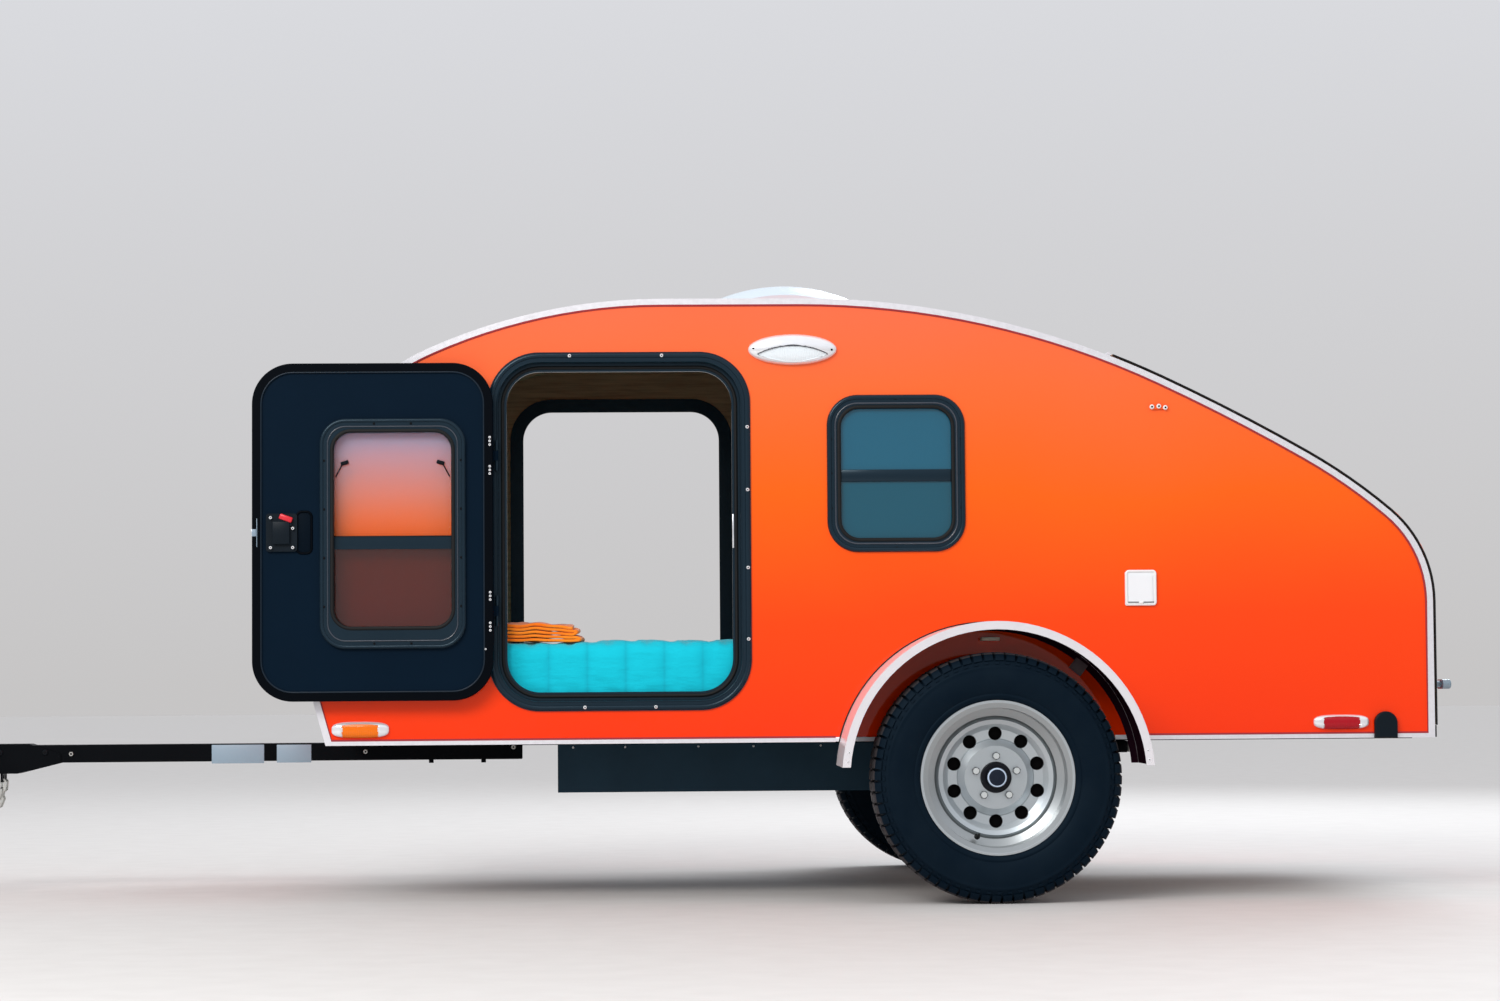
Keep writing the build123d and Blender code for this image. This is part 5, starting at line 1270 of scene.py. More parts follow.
# Columns: name, station, height, half length and half height, lens finish
MARKERS = [("front", 210.0, 43.0, (78.0, 22.0), lens_amber), ("rear", 2889.0, 44.0, (76.0, 20.0), lens_red)]


def under_arch(x, z):
    return -34.0 + 0.0022 * x * x < z < ARCH_TOP - ARCH_FALL * x * x and abs(x) < 104


def in_slot(x, z):
    return abs(x) < 49 and z < 15 - 0.0012 * x * x


for side_name, side in SIDES:
    porch = dome_lamp(f"porch_lamp_{side_name}", PORCH_STATION, PORCH_HEIGHT, PORCH_SIZE, 2.0, PORCH_RISE,
                      under_arch, (lamp_chrome, lens_clear), side, 3.0)
    if side < 0:
        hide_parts("porch_lights")
    for where, station, height, size, lens in MARKERS:
        marker = dome_lamp(f"marker_{where}_{side_name}", station, height, size, 3.2, MARKER_RISE,
                           in_slot, (lamp_chrome, lens), side, 2.0)
        if side < 0 and where == "front":
            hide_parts("marker_lights")
    screw_heads(f"porch_screws_{side_name}",
                side_places(PORCH_STATION, PORCH_HEIGHT, PORCH_SCREWS, 776.0, side), 3.8, 3.0, screw_black)
print("lamps on a side:", 1 + len(MARKERS))

# %% [markdown]
# The bed fills the cabin from wall to wall, so only its near side and its top edge show in the door.
# It wears a teal quilt with seams every ten centimetres, and the filling puffs up between them. That
# puff is what a cloth simulation does well: the mesh is a grid whose lines fall on the seams, the seams
# are pinned, and pressure lifts the rest. The grid replaces the usual voxel remesh, which would lose
# the seams. Travel is capped, so the quilt stays inside the space that the frame's mattress holds.

# %% Grid of the quilt
BED_X = (x_at(87.0), x_at(2128.0))
BED_Y = (-0.712, 0.712)
BED_Z = (z_at(71.0), z_at(275.0))
FRONT_LEAN = math.tan(math.radians(15.7))
LEAN_RUN = 0.30
SEAM_PITCH = 0.1055
GRID_STEPS = 5           # cells between two seams
CROSS_PITCH = 7          # cells between the cross seams on the top
GRID_TALL = 9            # cells from the bottom to the top
EDGE_ROUND = 0.020
TINY = 1e-9              # keeps a division by a length safe


def quilt_grid():
    """A closed grid box, with the numbers of its pinned points: the seams and the bottom."""
    nx = round((BED_X[1] - BED_X[0]) / SEAM_PITCH) * GRID_STEPS
    ny = round((BED_Y[1] - BED_Y[0]) / SEAM_PITCH * GRID_STEPS / CROSS_PITCH) * CROSS_PITCH
    nz = GRID_TALL
    mesh = bmesh.new()
    made = {}

    def corner(i, j, k):
        """The point at whole grid numbers along X, Y and Z, made when it is first needed."""
        if (i, j, k) not in made:
            spot = [low + (high - low) * n / count for (low, high), n, count in
                    zip((BED_X, BED_Y, BED_Z), (i, j, k), (nx, ny, nz))]
            made[(i, j, k)] = mesh.verts.new(spot)
        return made[(i, j, k)]

    for i in range(nx):
        for j in range(ny):
            for k in (0, nz):
                mesh.faces.new([corner(i, j, k), corner(i + 1, j, k), corner(i + 1, j + 1, k),
                                corner(i, j + 1, k)])
    for k in range(nz):
        for i in range(nx):
            for j in (0, ny):
                mesh.faces.new([corner(i, j, k), corner(i + 1, j, k), corner(i + 1, j, k + 1),
                                corner(i, j, k + 1)])
        for j in range(ny):
            for i in (0, nx):
                mesh.faces.new([corner(i, j, k), corner(i, j + 1, k), corner(i, j + 1, k + 1),
                                corner(i, j, k + 1)])
    bmesh.ops.recalc_face_normals(mesh, faces=mesh.faces)
    mesh.verts.index_update()
    pinned = [vert.index for (i, j, k), vert in made.items()
              if i % GRID_STEPS == 0 or k == 0 or (k == nz and j % CROSS_PITCH == 0)]
    return mesh, sorted(pinned)


def round_box(points):
    """Pull the points of a box in so that its edges are round."""
    low = np.array([BED_X[0], BED_Y[0], BED_Z[0]]) + EDGE_ROUND
    high = np.array([BED_X[1], BED_Y[1], BED_Z[1]]) - EDGE_ROUND
    core = np.clip(points, low, high)
    out = points - core
    reach = np.linalg.norm(out, axis=1, keepdims=True)
    return core + out / np.maximum(reach, TINY) * np.minimum(reach, EDGE_ROUND)


def read_points(mesh):
    flat = np.empty(len(mesh.vertices) * 3)
    mesh.vertices.foreach_get("co", flat)
    return flat.reshape(-1, 3)


grid, pinned = quilt_grid()
print("quilt grid:", len(grid.verts), "points,", len(pinned), "of them pinned")

# %% [markdown]
# The box gets round edges and leans with the body's front wall. Then air pressure works on it for some
# frames, with a little slack in the cloth. The puff is kept as a direction and a capped distance for
# each point, so no point can leave the mattress's space.

# %% Puff by simulation
PUFF_CAP = 0.0075
SIM_FRAMES = 20
SLACK = 0.12             # how much larger the cloth is cut than its place


def simulated(bed, pinned):
    """Points of the cloth after some frames under pressure."""
    group = bed.vertex_groups.new(name="seams")
    group.add(pinned, 1.0, "REPLACE")
    cloth = bed.modifiers.new("cloth", "CLOTH")
    cloth.settings.quality = 4
    cloth.settings.mass = 0.2
    cloth.settings.tension_stiffness = 6
    cloth.settings.compression_stiffness = 6
    cloth.settings.use_pressure = True
    cloth.settings.uniform_pressure_force = 4.0
    cloth.settings.shrink_min = -SLACK
    cloth.settings.vertex_group_mass = "seams"
    cloth.settings.effector_weights.gravity = 0.0
    for number in range(1, SIM_FRAMES + 1):
        bpy.context.scene.frame_set(number)
    shown = bed.evaluated_get(bpy.context.evaluated_depsgraph_get())
    points = read_points(shown.to_mesh())
    shown.to_mesh_clear()
    bed.modifiers.remove(cloth)
    bpy.context.scene.frame_set(1)
    return points


def quilt_piece(grid, pinned):
    mesh = bpy.data.meshes.new("bed_quilt")
    grid.to_mesh(mesh)
    grid.free()
    points = round_box(read_points(mesh))
    lean = (BED_Z[1] - points[:, 2]) * FRONT_LEAN
    points[:, 0] += lean * np.clip(1 - (points[:, 0] - BED_X[0]) / LEAN_RUN, 0, 1)
    mesh.vertices.foreach_set("co", points.ravel())
    bed = bpy.data.objects.new("bed_quilt", mesh)
    bpy.context.scene.collection.objects.link(bed)
    puff = np.zeros(len(points))
    moved = simulated(bed, pinned) - points
    far = np.linalg.norm(moved, axis=1)
    puff = np.minimum(far, PUFF_CAP)
    points = points + moved / np.maximum(far, TINY)[:, None] * puff[:, None]
    mesh.vertices.foreach_set("co", points.ravel())
    mesh.update()
    print("largest puff in mm:", round(puff.max() / MM, 1), "mean:", round(puff.mean() / MM, 2))
    return bed


bed_quilt = quilt_piece(grid, pinned)

# %% [markdown]
# After the simulation come the things that a coarse grid can't hold: one subdivision, a slow sag that
# makes the top edge wander by a few millimetres, and the short puckers beside each seam. The cotton has
# a fine weave and a soft sheen at grazing angles, and it is painted darker along each seam: painted
# shade in the dip where the seam pulls it in.

# %% Quilt surface
QUILT_TEAL = (0.002, 0.56, 0.70)
QUILT_SEAM_SHADE = (0.001, 0.34, 0.46)


def quilt_cotton():
    finish = Finish("quilt_cotton", QUILT_TEAL, 0.85, Sheen_Weight=0.35, Sheen_Roughness=0.4,
                    Specular_IOR_Level=0.2)
    across = (finish.part(finish.place, 0) - BED_X[0]) / SEAM_PITCH
    beside = (across.math("FRACT") - 0.5).abs() * 2.0
    near_seam = beside.math("POWER", 10.0)
    cloud = finish.noise(4.0, detail=5)
    # Painted shade: the teal darkens along each seam.
    shade = finish.mix(near_seam * 0.5, QUILT_TEAL, QUILT_SEAM_SHADE)
    finish.set("Base Color", finish.mix(cloud * 0.4, shade, (0.003, 0.46, 0.60)))
    pucker = finish.noise(9.0, detail=4, stretch=(1.0, 5.0, 5.0))
    weave_x = (finish.part(finish.place, 0) * 4200.0).sin()
    weave_z = ((finish.part(finish.place, 2) + finish.part(finish.place, 1)) * 4200.0).sin()
    height = pucker * 6.0 + weave_x * weave_z * 0.10
    finish.bump(height, 0.45, 0.0016)
    return finish


def settle_quilt(bed):
    """One subdivision, then a slow sag and the puckers along the top edges."""
    step = bed.modifiers.new("finer", "SUBSURF")
    step.levels = step.render_levels = 1
    shown = bed.evaluated_get(bpy.context.evaluated_depsgraph_get())
    finer = bpy.data.meshes.new_from_object(shown)
    bed.modifiers.remove(step)
    bed.data = finer
    points = read_points(finer)
    x, y, z = points.T
    phase = (x - BED_X[0]) / SEAM_PITCH
    top = np.clip((z - (BED_Z[1] - 0.05)) / 0.05, 0, 1)
    edge = top * np.clip((np.abs(y) - 0.60) / 0.10, 0, 1)
    sag = 0.0022 * np.sin(7.3 * x + 1.1) + 0.0016 * np.sin(17.0 * x + 5.0 * y)
    pucker = 0.0018 * np.sin(2 * np.pi * phase * 3 + 2.0 * np.sin(9 * y)) * np.abs(np.sin(np.pi * phase))
    points[:, 2] += top * (sag - 0.001) + edge * pucker
    side = np.clip((np.abs(y) - 0.69) / 0.02, 0, 1) * (1 - top)
    seam = np.exp(-((phase - np.round(phase)) * SEAM_PITCH / 0.007) ** 2)
    points[:, 1] -= np.sign(y) * side * (seam * 0.0024 + 0.0012 * (1 + np.sin(31 * x + 23 * z)))
    finer.vertices.foreach_set("co", points.ravel())
    finer.update()
    finer.shade_smooth()


settle_quilt(bed_quilt)
cotton = quilt_cotton()
bed_quilt.data.materials.append(cotton.material)
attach(bed_quilt, "body")
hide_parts("mattress")
print("quilt faces:", len(bed_quilt.data.polygons))

# %% [markdown]
# The orange throw lies folded on the bed with its folds towards the middle of the door. It is one sheet:
# a zigzag path seen from the side, repeated across its width. A simulation could fold a flat sheet, but
# the pile's exact shape is known from the doorway, so the path is drawn. The layers are spread at their
# left end and pressed together at the right.

# %% Path of the folded throw
# Layers from the bottom. Columns: left station, left height, right station, right height.
THROW_LAYERS = [(570, 288.5, 806, 284.5), (566, 299.5, 792, 295.5), (568, 310.5, 784, 306.0),
                (570, 321.5, 789, 316.5), (566, 331.5, 781, 326.5)]
THROW_SPACING = 6.0      # between points of the path, in millimetres
BEND_STEPS, BEND_OUT = 8, 8.0


def throw_path():
    """The zigzag as (station, height) pairs, with half-round bends at both ends."""
    path = []
    for number, (left, low, right, high) in enumerate(THROW_LAYERS):
        forward = number % 2 == 0
        start, end = ((left, low), (right, high)) if forward else ((right, high), (left, low))
        count = max(2, round(abs(end[0] - start[0]) / THROW_SPACING))
        path += [(start[0] + (end[0] - start[0]) * k / count, start[1] + (end[1] - start[1]) * k / count)
                 for k in range(count + 1)]
        if number + 1 < len(THROW_LAYERS):
            next_left, next_low, next_right, next_high = THROW_LAYERS[number + 1]
            goal = (next_right, next_high) if forward else (next_left, next_low)
            out = 1 if forward else -1
            for k in range(1, BEND_STEPS):
                turn = math.pi * k / BEND_STEPS
                share = (1 - math.cos(turn)) / 2
                bulge = out * BEND_OUT * math.sin(turn)
                path.append((end[0] + (goal[0] - end[0]) * share + bulge,
                             end[1] + (goal[1] - end[1]) * share))
    return path


throw_line = throw_path()

# %% [markdown]
# One shared ripple runs through all layers, stronger towards the top, so that no layer passes through
# the next. Each layer also slides a little as it goes into the cabin, because nobody folds a blanket
# square. The wool has a soft sheen, and its streaks run along the layers.

# %% Throw
THROW_Y = (-0.694, -0.410)
THROW_THICK = 0.0074
THROW_COLUMNS = 30
THROW_LOW, THROW_TALL = 287.0, 46.0
THROW_LEFT, THROW_LONG = 560.0, 240.0
DROOP_FROM, DROOP_RUN = 690.0, 110.0


def throw_point(station, height, across):
    """Where a point of the path lies at one depth into the cabin."""
    lift = (height - THROW_LOW) / THROW_TALL
    ripple = 2.6 * math.sin(station / 23.0 + across * 14) + 1.5 * math.sin(station / 11.0 - across * 31)
    ripple -= 5.0 * max(0.0, 1 - (across - THROW_Y[0]) / 0.05)
    slide = 7.0 * math.sin(across * 19 + lift * 2.6) * (0.3 + lift) + 3.0 * math.sin(across * 47)
    droop = -5.0 * lift * max(0.0, (station - DROOP_FROM) / DROOP_RUN) ** 2
    return (x_at(station + slide * (station - THROW_LEFT) / THROW_LONG), across,
            z_at(height + ripple * (0.35 + lift * 0.65) + droop - 1.0))


def throw_mesh(line):
    points, faces = [], []
    for j in range(THROW_COLUMNS + 1):
        across = THROW_Y[0] + (THROW_Y[1] - THROW_Y[0]) * j / THROW_COLUMNS
        points += [throw_point(station, height, across) for station, height in line]
    count = len(line)
    for j in range(THROW_COLUMNS):
        for k in range(count - 1):
            a, b = j * count + k, (j + 1) * count + k
            faces.append((a, b, b + 1, a + 1))
    mesh = bpy.data.meshes.new("folded_throw")
    mesh.from_pydata(points, [], faces)
    mesh.shade_smooth()
    return mesh


def throw_wool():
    finish = Finish("throw_wool", (0.95, 0.19, 0.008), 0.9, Sheen_Weight=0.4, Sheen_Roughness=0.5,
                    Specular_IOR_Level=0.15)
    streak = finish.noise(14.0, detail=5, stretch=(0.5, 1.0, 4.0))
    wool = finish.ramp(streak, (0.30, (0.42, 0.045, 0.004)), (0.42, (0.95, 0.16, 0.003)),
                       (0.66, (1.0, 0.27, 0.010)), (0.74, (1.0, 0.55, 0.25)))
    finish.set("Base Color", wool)
    finish.bump(finish.noise(260.0, detail=4), 0.6, 0.0012)
    return finish


folded_throw = link_piece("folded_throw", throw_mesh(throw_line), throw_wool(), "body")
skin = folded_throw.modifiers.new("thickness", "SOLIDIFY")
skin.thickness = THROW_THICK
skin.offset = 0.0
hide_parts("throw")

# %% [markdown]
# Many small parts are plain blocks with eased edges: plates, labels, brackets, levers. One helper makes
# such a block on a side wall from its station, height and size, with an optional tilt, and mirrors it
# for the other side. The edges are bevelled, because a sharp edge never catches a line of light.

# %% Blocks with eased edges
def block(name, low, high, finish, body="body", slot=None, ease=1.0, tilt=0.0):
    """A box between two corners in metres; ease is in millimetres, tilt in degrees about Y."""
    mesh = bmesh.new()
    bmesh.ops.create_cube(mesh, size=1.0)
    low, high = Vector(map(min, low, high)), Vector(map(max, low, high))
    size = high - low
    for vert in mesh.verts:
        vert.co = Vector(a * b for a, b in zip(vert.co, size))
    reach = min(ease * MM, min(size) * 0.45)
    bmesh.ops.bevel(mesh, geom=mesh.edges, offset=reach, segments=2, affect="EDGES", profile=0.5)
    spin = Matrix.Rotation(math.radians(tilt), 4, "Y")
    mesh.transform(Matrix.Translation((low + high) / 2) @ spin)
    bmesh.ops.recalc_face_normals(mesh, faces=mesh.faces)
    data = bpy.data.meshes.new(name)
    mesh.to_mesh(data)
    mesh.free()
    data.shade_smooth()
    data.set_sharp_from_angle(angle=math.radians(50))
    return link_piece(name, data, finish, body)


def side_block(name, station, height, size, faces, finish, side, body="body", slot=None, ease=1.0,
               tilt=0.0):
    """A block on a side wall. size is (length, height); faces are its inner and outer |Y|, all in mm."""
    (long, tall), (near, far) = size, faces
    low = (x_at(station - long / 2), side * near * MM, z_at(height - tall / 2))
    high = (x_at(station + long / 2), side * far * MM, z_at(height + tall / 2))
    return block(name, low, high, finish, body, slot, ease, tilt)


print("a block's edges are eased by", block.__defaults__[2], "mm unless told otherwise")

# %% [markdown]
# The open door shows its inner face. Its latch has a raised paddle, a red lock lever that stands
# slightly tilted, and a grip moulded beside it. A bolt plate is let into the door's free edge, and the
# jamb has the strike plate that it meets. Inside the glass, two small sprung hooks hold the screen.

# %% Door fittings
lever_red = moulded("lever_red", (0.56, 0.010, 0.022), 0.30, grain=300, relief=0.05)
grip_dark = moulded("grip_dark", (0.0010, 0.0040, 0.0085), 0.55, grain=700, relief=0.3, shine=0.04)
plate_bright = satin_metal("bright_plate", (0.82, 0.84, 0.88), 0.28, scale=40, spread=0.05)
bolt_grey = moulded("bolt_grey", (0.20, 0.27, 0.34), 0.35, grain=300, relief=0.05)
PANEL_FACE = 809.0       # the leaf's panel lies lower than its rim
LEAF_EDGE = -78.5
PANE_FACE = 794.2        # the glass, seen from the cabin's side
GRIP_STATION, GRIP_HEIGHT = 62.5, 578.0
# Columns: name, lean, station
HOOKS = (("front", 1, 158.0), ("rear", -1, 444.0))

for side_name, side in SIDES:
    door = f"door_{side_name}"
    # Columns: name, station, height, size, inner and outer |Y|, finish, ease, tilt
    fittings = [
        ("latch_paddle", 1.5, 577.0, (47, 62), (LATCH_FACE - 1, LATCH_FACE + 3.5), latch_plastic, 2.5, 0.0),
        ("lock_lever", 14.5, 616.6, (36, 15), (LATCH_FACE - 2, LATCH_FACE + 6.0), lever_red, 3.0, 20.0),
        ("grip_floor", GRIP_STATION, GRIP_HEIGHT, (36, 108), (PANEL_FACE - 1, PANEL_FACE + 0.5),
         grip_dark, 0.3, 0.0),
        ("bolt_line", -65.0, 578.0, (1.8, 77), (LEAF_FACE - 2, LEAF_FACE + 0.6), bolt_grey, 0.3, 0.0),
        ("bolt_face", -72.5, 578.0, (12.0, 20), (LEAF_FACE - 8, LEAF_FACE + 0.8), bolt_grey, 1.5, 0.0),
        ("bolt_plate", LEAF_EDGE - 0.2, 578.0, (1.8, 77), (784, 802), plate_bright, 0.5, 0.0),
        ("bolt_tongue", LEAF_EDGE - 1.8, 578.0, (3.6, 19), (788, 798), plate_bright, 1.0, 0.0),
    ]
    for name, station, height, size, faces, finish, ease, tilt in fittings:
        side_block(f"{name}_{side_name}", station, height, size, faces, finish, side, door, "latch_black",
                   ease, tilt)
    side_block(f"strike_plate_{side_name}", 1227.0, 578.5, (4.6, 93), (738.5, 740.4), plate_bright, side,
               "body", "steel_zinc", 0.5)
    swept_frame(f"grip_rim_{side_name}", GRIP_STATION, GRIP_HEIGHT, (40, 113, 14),
                half_round(0, PANEL_FACE, 7, 3.6), leaf_plastic, door, side)
    for hook, lean, station in HOOKS:
        side_block(f"hook_arm_{hook}_{side_name}", station - lean * 2, 747.0, (3.4, 42),
                   (PANE_FACE, 798.0), screw_black, side, door, "latch_black", 1.0, 28.0 * lean)
        side_block(f"hook_head_{hook}_{side_name}", station + lean * 13, 767.0, (22, 11),
                   (PANE_FACE, 800.0), screw_black, side, door, "latch_black", 2.5, -18.0 * lean)
    side_block(f"bar_rail_{side_name}", RING_STATION, 567.0, (318, 3.0), (PANE_FACE, 800.0), seal_rubber,
               side, door, "latch_black")
print("door fittings on a side:", len(fittings) + 2 * len(HOOKS) + 3)

# %% [markdown]
# The fender is one rolled band with a turned lip. Small things tie it to the body: a dark bead of
# sealant along the joint, rivets on the end tabs, and two steel brackets that show as bright spots in
# the shadow under the band; the upper one is painted a warm near-white, a painted highlight of sunlight.
# The sealant follows the arc about the axle, so it is an open sweep.

# %% Fender details
sunlit_tab_paint = moulded("bright_tab", (0.95, 0.80, 0.62), 0.35, grain=300, relief=0.05, drift=1.03)
tab_grey = moulded("grey_tab", (0.16, 0.12, 0.13), 0.45, grain=300, relief=0.1, drift=1.3, shine=0.2)
FENDER_R = 414.0         # inside of the band
FENDER_LIP = 1052.0
SEALANT_ARC = (12.5, 167.5)
FENDER_RIVETS = [(403, 10.0), (403, 6.5), (403, 170.0), (403, 173.5)]
ARC_STEPS = 72


def arc_sweep(name, radius, arc, section, finish, side):
    """Sweep a closed section of (outwards, |Y|) pairs round the axle between two angles."""
    rows = []
    for step in range(ARC_STEPS + 1):
        angle = math.radians(arc[0] + (arc[1] - arc[0]) * step / ARC_STEPS)
        rows.append([(WHEEL_X + (radius + out) * MM * math.cos(angle), side * y * MM,
                      WHEEL_Z + (radius + out) * MM * math.sin(angle)) for out, y in section])
    points, faces = open_strip(rows)
    return mesh_piece(name, points, faces, finish, "body")


def around_axle(places, face, side):
    """Points on a face at (radius, angle) places about the axle, facing out of the side."""
    return [(Vector((WHEEL_X + r * MM * math.cos(math.radians(a)), side * face * MM,
                     WHEEL_Z + r * MM * math.sin(math.radians(a)))), (0, side, 0)) for r, a in places]


for side_name, side in SIDES:
    arc_sweep(f"fender_sealant_{side_name}", FENDER_R + 2, SEALANT_ARC, half_round(0, 762.4, 7, 3.4, 5),
              seal_rubber, side)
    screw_heads(f"fender_rivets_{side_name}", around_axle(FENDER_RIVETS, FENDER_LIP, side), 3.4, 1.6)
    # Painted highlight: the upper bracket is a warm near-white, as if lit by the sun.
    side_block(f"fender_bracket_top_{side_name}", 1923.0, 277.0, (49, 9), (762.2, 822), sunlit_tab_paint, side,
               "body", "steel_zinc", 1.0)
    side_block(f"fender_bracket_rear_{side_name}", 2168.0, 200.0, (40, 36), (762.2, 768), tab_grey, side,
               "body", "steel_zinc", 1.0, -38.0 * side)
    side_block(f"rear_bracket_{side_name}", 2297.0, -20.0, (26, 32), (640, 690), black_steel, side, "body",
               "steel_black", 1.5)
    side_block(f"rear_bracket_tab_{side_name}", 2331.0, -20.0, (36, 30), (650, 686), zinc, side, "body",
               "steel_zinc", 1.5)
print("fender rivets on a side:", len(FENDER_RIVETS))

# %% [markdown]
# A thin rubber edging covers the hatch's raw side edges and shows as a fine dark line outside the bright
# trim. It has to follow the hatch exactly, so its path is read from the frame's own hatch: the points
# on the side plane that lie farthest from the cabin's centre, in order of their angle. It rides on the
# hatch, so it lifts with it.

# %% Path of the hatch's edge
HATCH_SIDE = 0.7612      # |Y| of the hatch's side edges
LOOK_FROM = (0.4, 0.75)  # x and z inside the cabin
LOOK_STEP = 0.8          # degrees
PATH_STEP = 0.012


def along(path, number):
    """Direction of a path of (x, z) pairs at one of its points."""
    ahead, back = path[min(number + 1, len(path) - 1)], path[max(number - 1, 0)]
    return Vector((ahead[0] - back[0], ahead[1] - back[1])).normalized()


def is_outer(path, number):
    """True unless a point falls inside the line between its neighbours, as inner-wall points do."""
    (ax, az), (bx, bz), (cx, cz) = path[number - 1], path[number], path[number + 1]
    return (bx - ax) * (cz - az) - (bz - az) * (cx - ax) <= 1e-6


def hatch_edge_path(side):
    """Outermost points of the hatch on one side plane as (x, z), from the hinge to the sill."""
    points = read_points(nodes["hatch_shell"].data)
    away = points[(points[:, 1] * side) > HATCH_SIDE][:, [0, 2]] - np.array(LOOK_FROM)
    angle = np.degrees(np.arctan2(away[:, 1], away[:, 0]))
    farthest = {}
    for a, r in zip(angle, np.linalg.norm(away, axis=1)):
        sector = round(float(a) / LOOK_STEP)
        if sector not in farthest or farthest[sector][1] < r:
            farthest[sector] = (a, r)
    path = []
    for a, r in sorted(farthest.values(), reverse=True):
        spot = (LOOK_FROM[0] + r * math.cos(math.radians(a)), LOOK_FROM[1] + r * math.sin(math.radians(a)))
        if not path or math.dist(spot, path[-1]) > PATH_STEP:
            path.append(spot)
    number = 1
    while number < len(path) - 1:
        if is_outer(path, number):
            number += 1
        else:
            del path[number]
            number = 1
    return path


edge_path = hatch_edge_path(-1)
print("edge path:", len(edge_path), "points from", [round(float(v), 3) for v in edge_path[0]], "to",
      [round(float(v), 3) for v in edge_path[-1]])

# %% [markdown]
# The edging is a round rubber cord pressed over the edge, so a small circle is swept along the path. It
# sits nine tenths inside the hatch's line, which leaves only a fine rim of it in sight.

# %% Hatch edging
EDGING_R = 2.5
EDGING_STEPS = 10
EDGING_SUNK = 0.9        # share of its radius


def edging_piece(name, side):
    path = hatch_edge_path(side)
    circle = [2 * math.pi * k / EDGING_STEPS for k in range(EDGING_STEPS)]
    rows = []
    for number, (x, z) in enumerate(path):
        run = along(path, number)
        row = []
        for turn in circle:
            reach = EDGING_R * MM * (math.cos(turn) - EDGING_SUNK)
            across = EDGING_R * MM * math.sin(turn)
            row.append((x - run.y * reach, side * (HATCH_SIDE + across), z + run.x * reach))
        rows.append(row)
    points, faces = open_strip(rows)
    return mesh_piece(name, points, faces, seal_rubber, "hatch")


for side_name, side in SIDES:
    edging = edging_piece(f"hatch_edging_{side_name}", side)
print("edging faces:", len(edging.data.polygons))

# %% [markdown]
# Under the body, the tongue carries two rating plates, which stay blank here, a cross bolt near its
# sleeve and a tab with pins. The tool box below the floor has a row of screws near its top edge. These
# are small, but they are what breaks up a long black beam.

# %% Tongue and underfloor
plate_blank = moulded("blank_plate", (0.26, 0.36, 0.44), 0.38, grain=200, relief=0.03, drift=1.06)
TONGUE_FACE, SLEEVE_FACE, BOX_FACE = 38.0, 42.0, 400.0
# Columns: name, station, height, size
PLATES = [("rating_plate_long", -202.0, -34.0, (152, 54)), ("rating_plate_short", -39.0, -34.0, (100, 52))]
# Columns: name, face, places as (station, height), head radius, head height, finish
LOW_SCREWS = [
    ("tongue_bolts", TONGUE_FACE, [(-685.0, -30.0), (169.0, -30.0), (600.0, -20.0)], 8.0, 6.0, zinc),
    ("sleeve_bolts", SLEEVE_FACE, [(-890.0, -25), (-760.0, -25)], 9.0, 6.0, screw_black),
    ("box_screws", BOX_FACE, [(s, -16) for s in (780.0, 927.0, 1134.0, 1290.0, 1480.0, 1650.0)], 3.0,
     1.6, screw_steel),
]
for name, station, height, size in PLATES:
    side_block(name, station, height, size, (TONGUE_FACE - 0.2, TONGUE_FACE + 0.7), plate_blank, -1,
               "body", "fitting_white", 0.3)
for name, face, spots, radius, rise, finish in LOW_SCREWS:
    places = [place for spot in spots for side in (-1, 1)
              for place in side_places(*spot, [(0, 0)], face, side)]
    screw_heads(name, places, radius, rise, finish)
print("bolts and screws below:", 2 * sum(len(row[2]) for row in LOW_SCREWS))

# %% [markdown]
# Behind the hatch is the galley. Its birch cabinet gets door fronts, edge-banded and set a millimetre
# or two apart, which is how such kitchens are made from one sheet of plywood. Each finger hole is a
# flat dark disc on its front: painted shade in place of the hole.

# %% Galley fronts
GALLEY_BACK = 2990.0
GALLEY_WIDE = 700.0      # from the middle to either side
FRONT_GAP = 4.0
FRONT_COUNT = 3
FRONT_THICK = 12
FRONT_LOW, FRONT_HIGH, HOLE_HEIGHT = 75, 432, 400
ply_front = birch_ply("birch_front", (26, 1.5, 26))
painted_hole_shade = powder_coat("finger_hole", (0.006, 0.004, 0.003), 0.7)
wide = (2 * GALLEY_WIDE - (FRONT_COUNT + 1) * FRONT_GAP) / FRONT_COUNT
holes = []
for number in range(FRONT_COUNT):
    start = -GALLEY_WIDE + FRONT_GAP + number * (wide + FRONT_GAP)
    block(f"galley_front_{number + 1}", (x_at(GALLEY_BACK), start * MM, z_at(FRONT_LOW)),
          (x_at(GALLEY_BACK + FRONT_THICK), (start + wide) * MM, z_at(FRONT_HIGH)), ply_front, "body",
          "wood_galley", 1.5)
    holes.append((Vector((x_at(GALLEY_BACK + FRONT_THICK), (start + wide / 2) * MM, z_at(HOLE_HEIGHT))),
                  (1, 0, 0)))
# Painted shade: a flat dark disc for each finger hole.
screw_heads("galley_finger_holes", holes, 15.0, 0.8, painted_hole_shade, "body", "wood_galley")
print("galley fronts:", FRONT_COUNT, "each", round(wide), "mm wide")

# %% [markdown]
# Where the bright trim meets the enamel, a rose-dark bead lies along the trim's inner edge and laps
# over it, drawing a dark line there. Its path is that edge, read from the frame's own trim in the same
# way as the hatch's edge. The trim is broken at the wheel arch, and so is the bead. Two short runs of
# trim go on under the fender's ends, and a rubber seal stands at the sill's rear end.

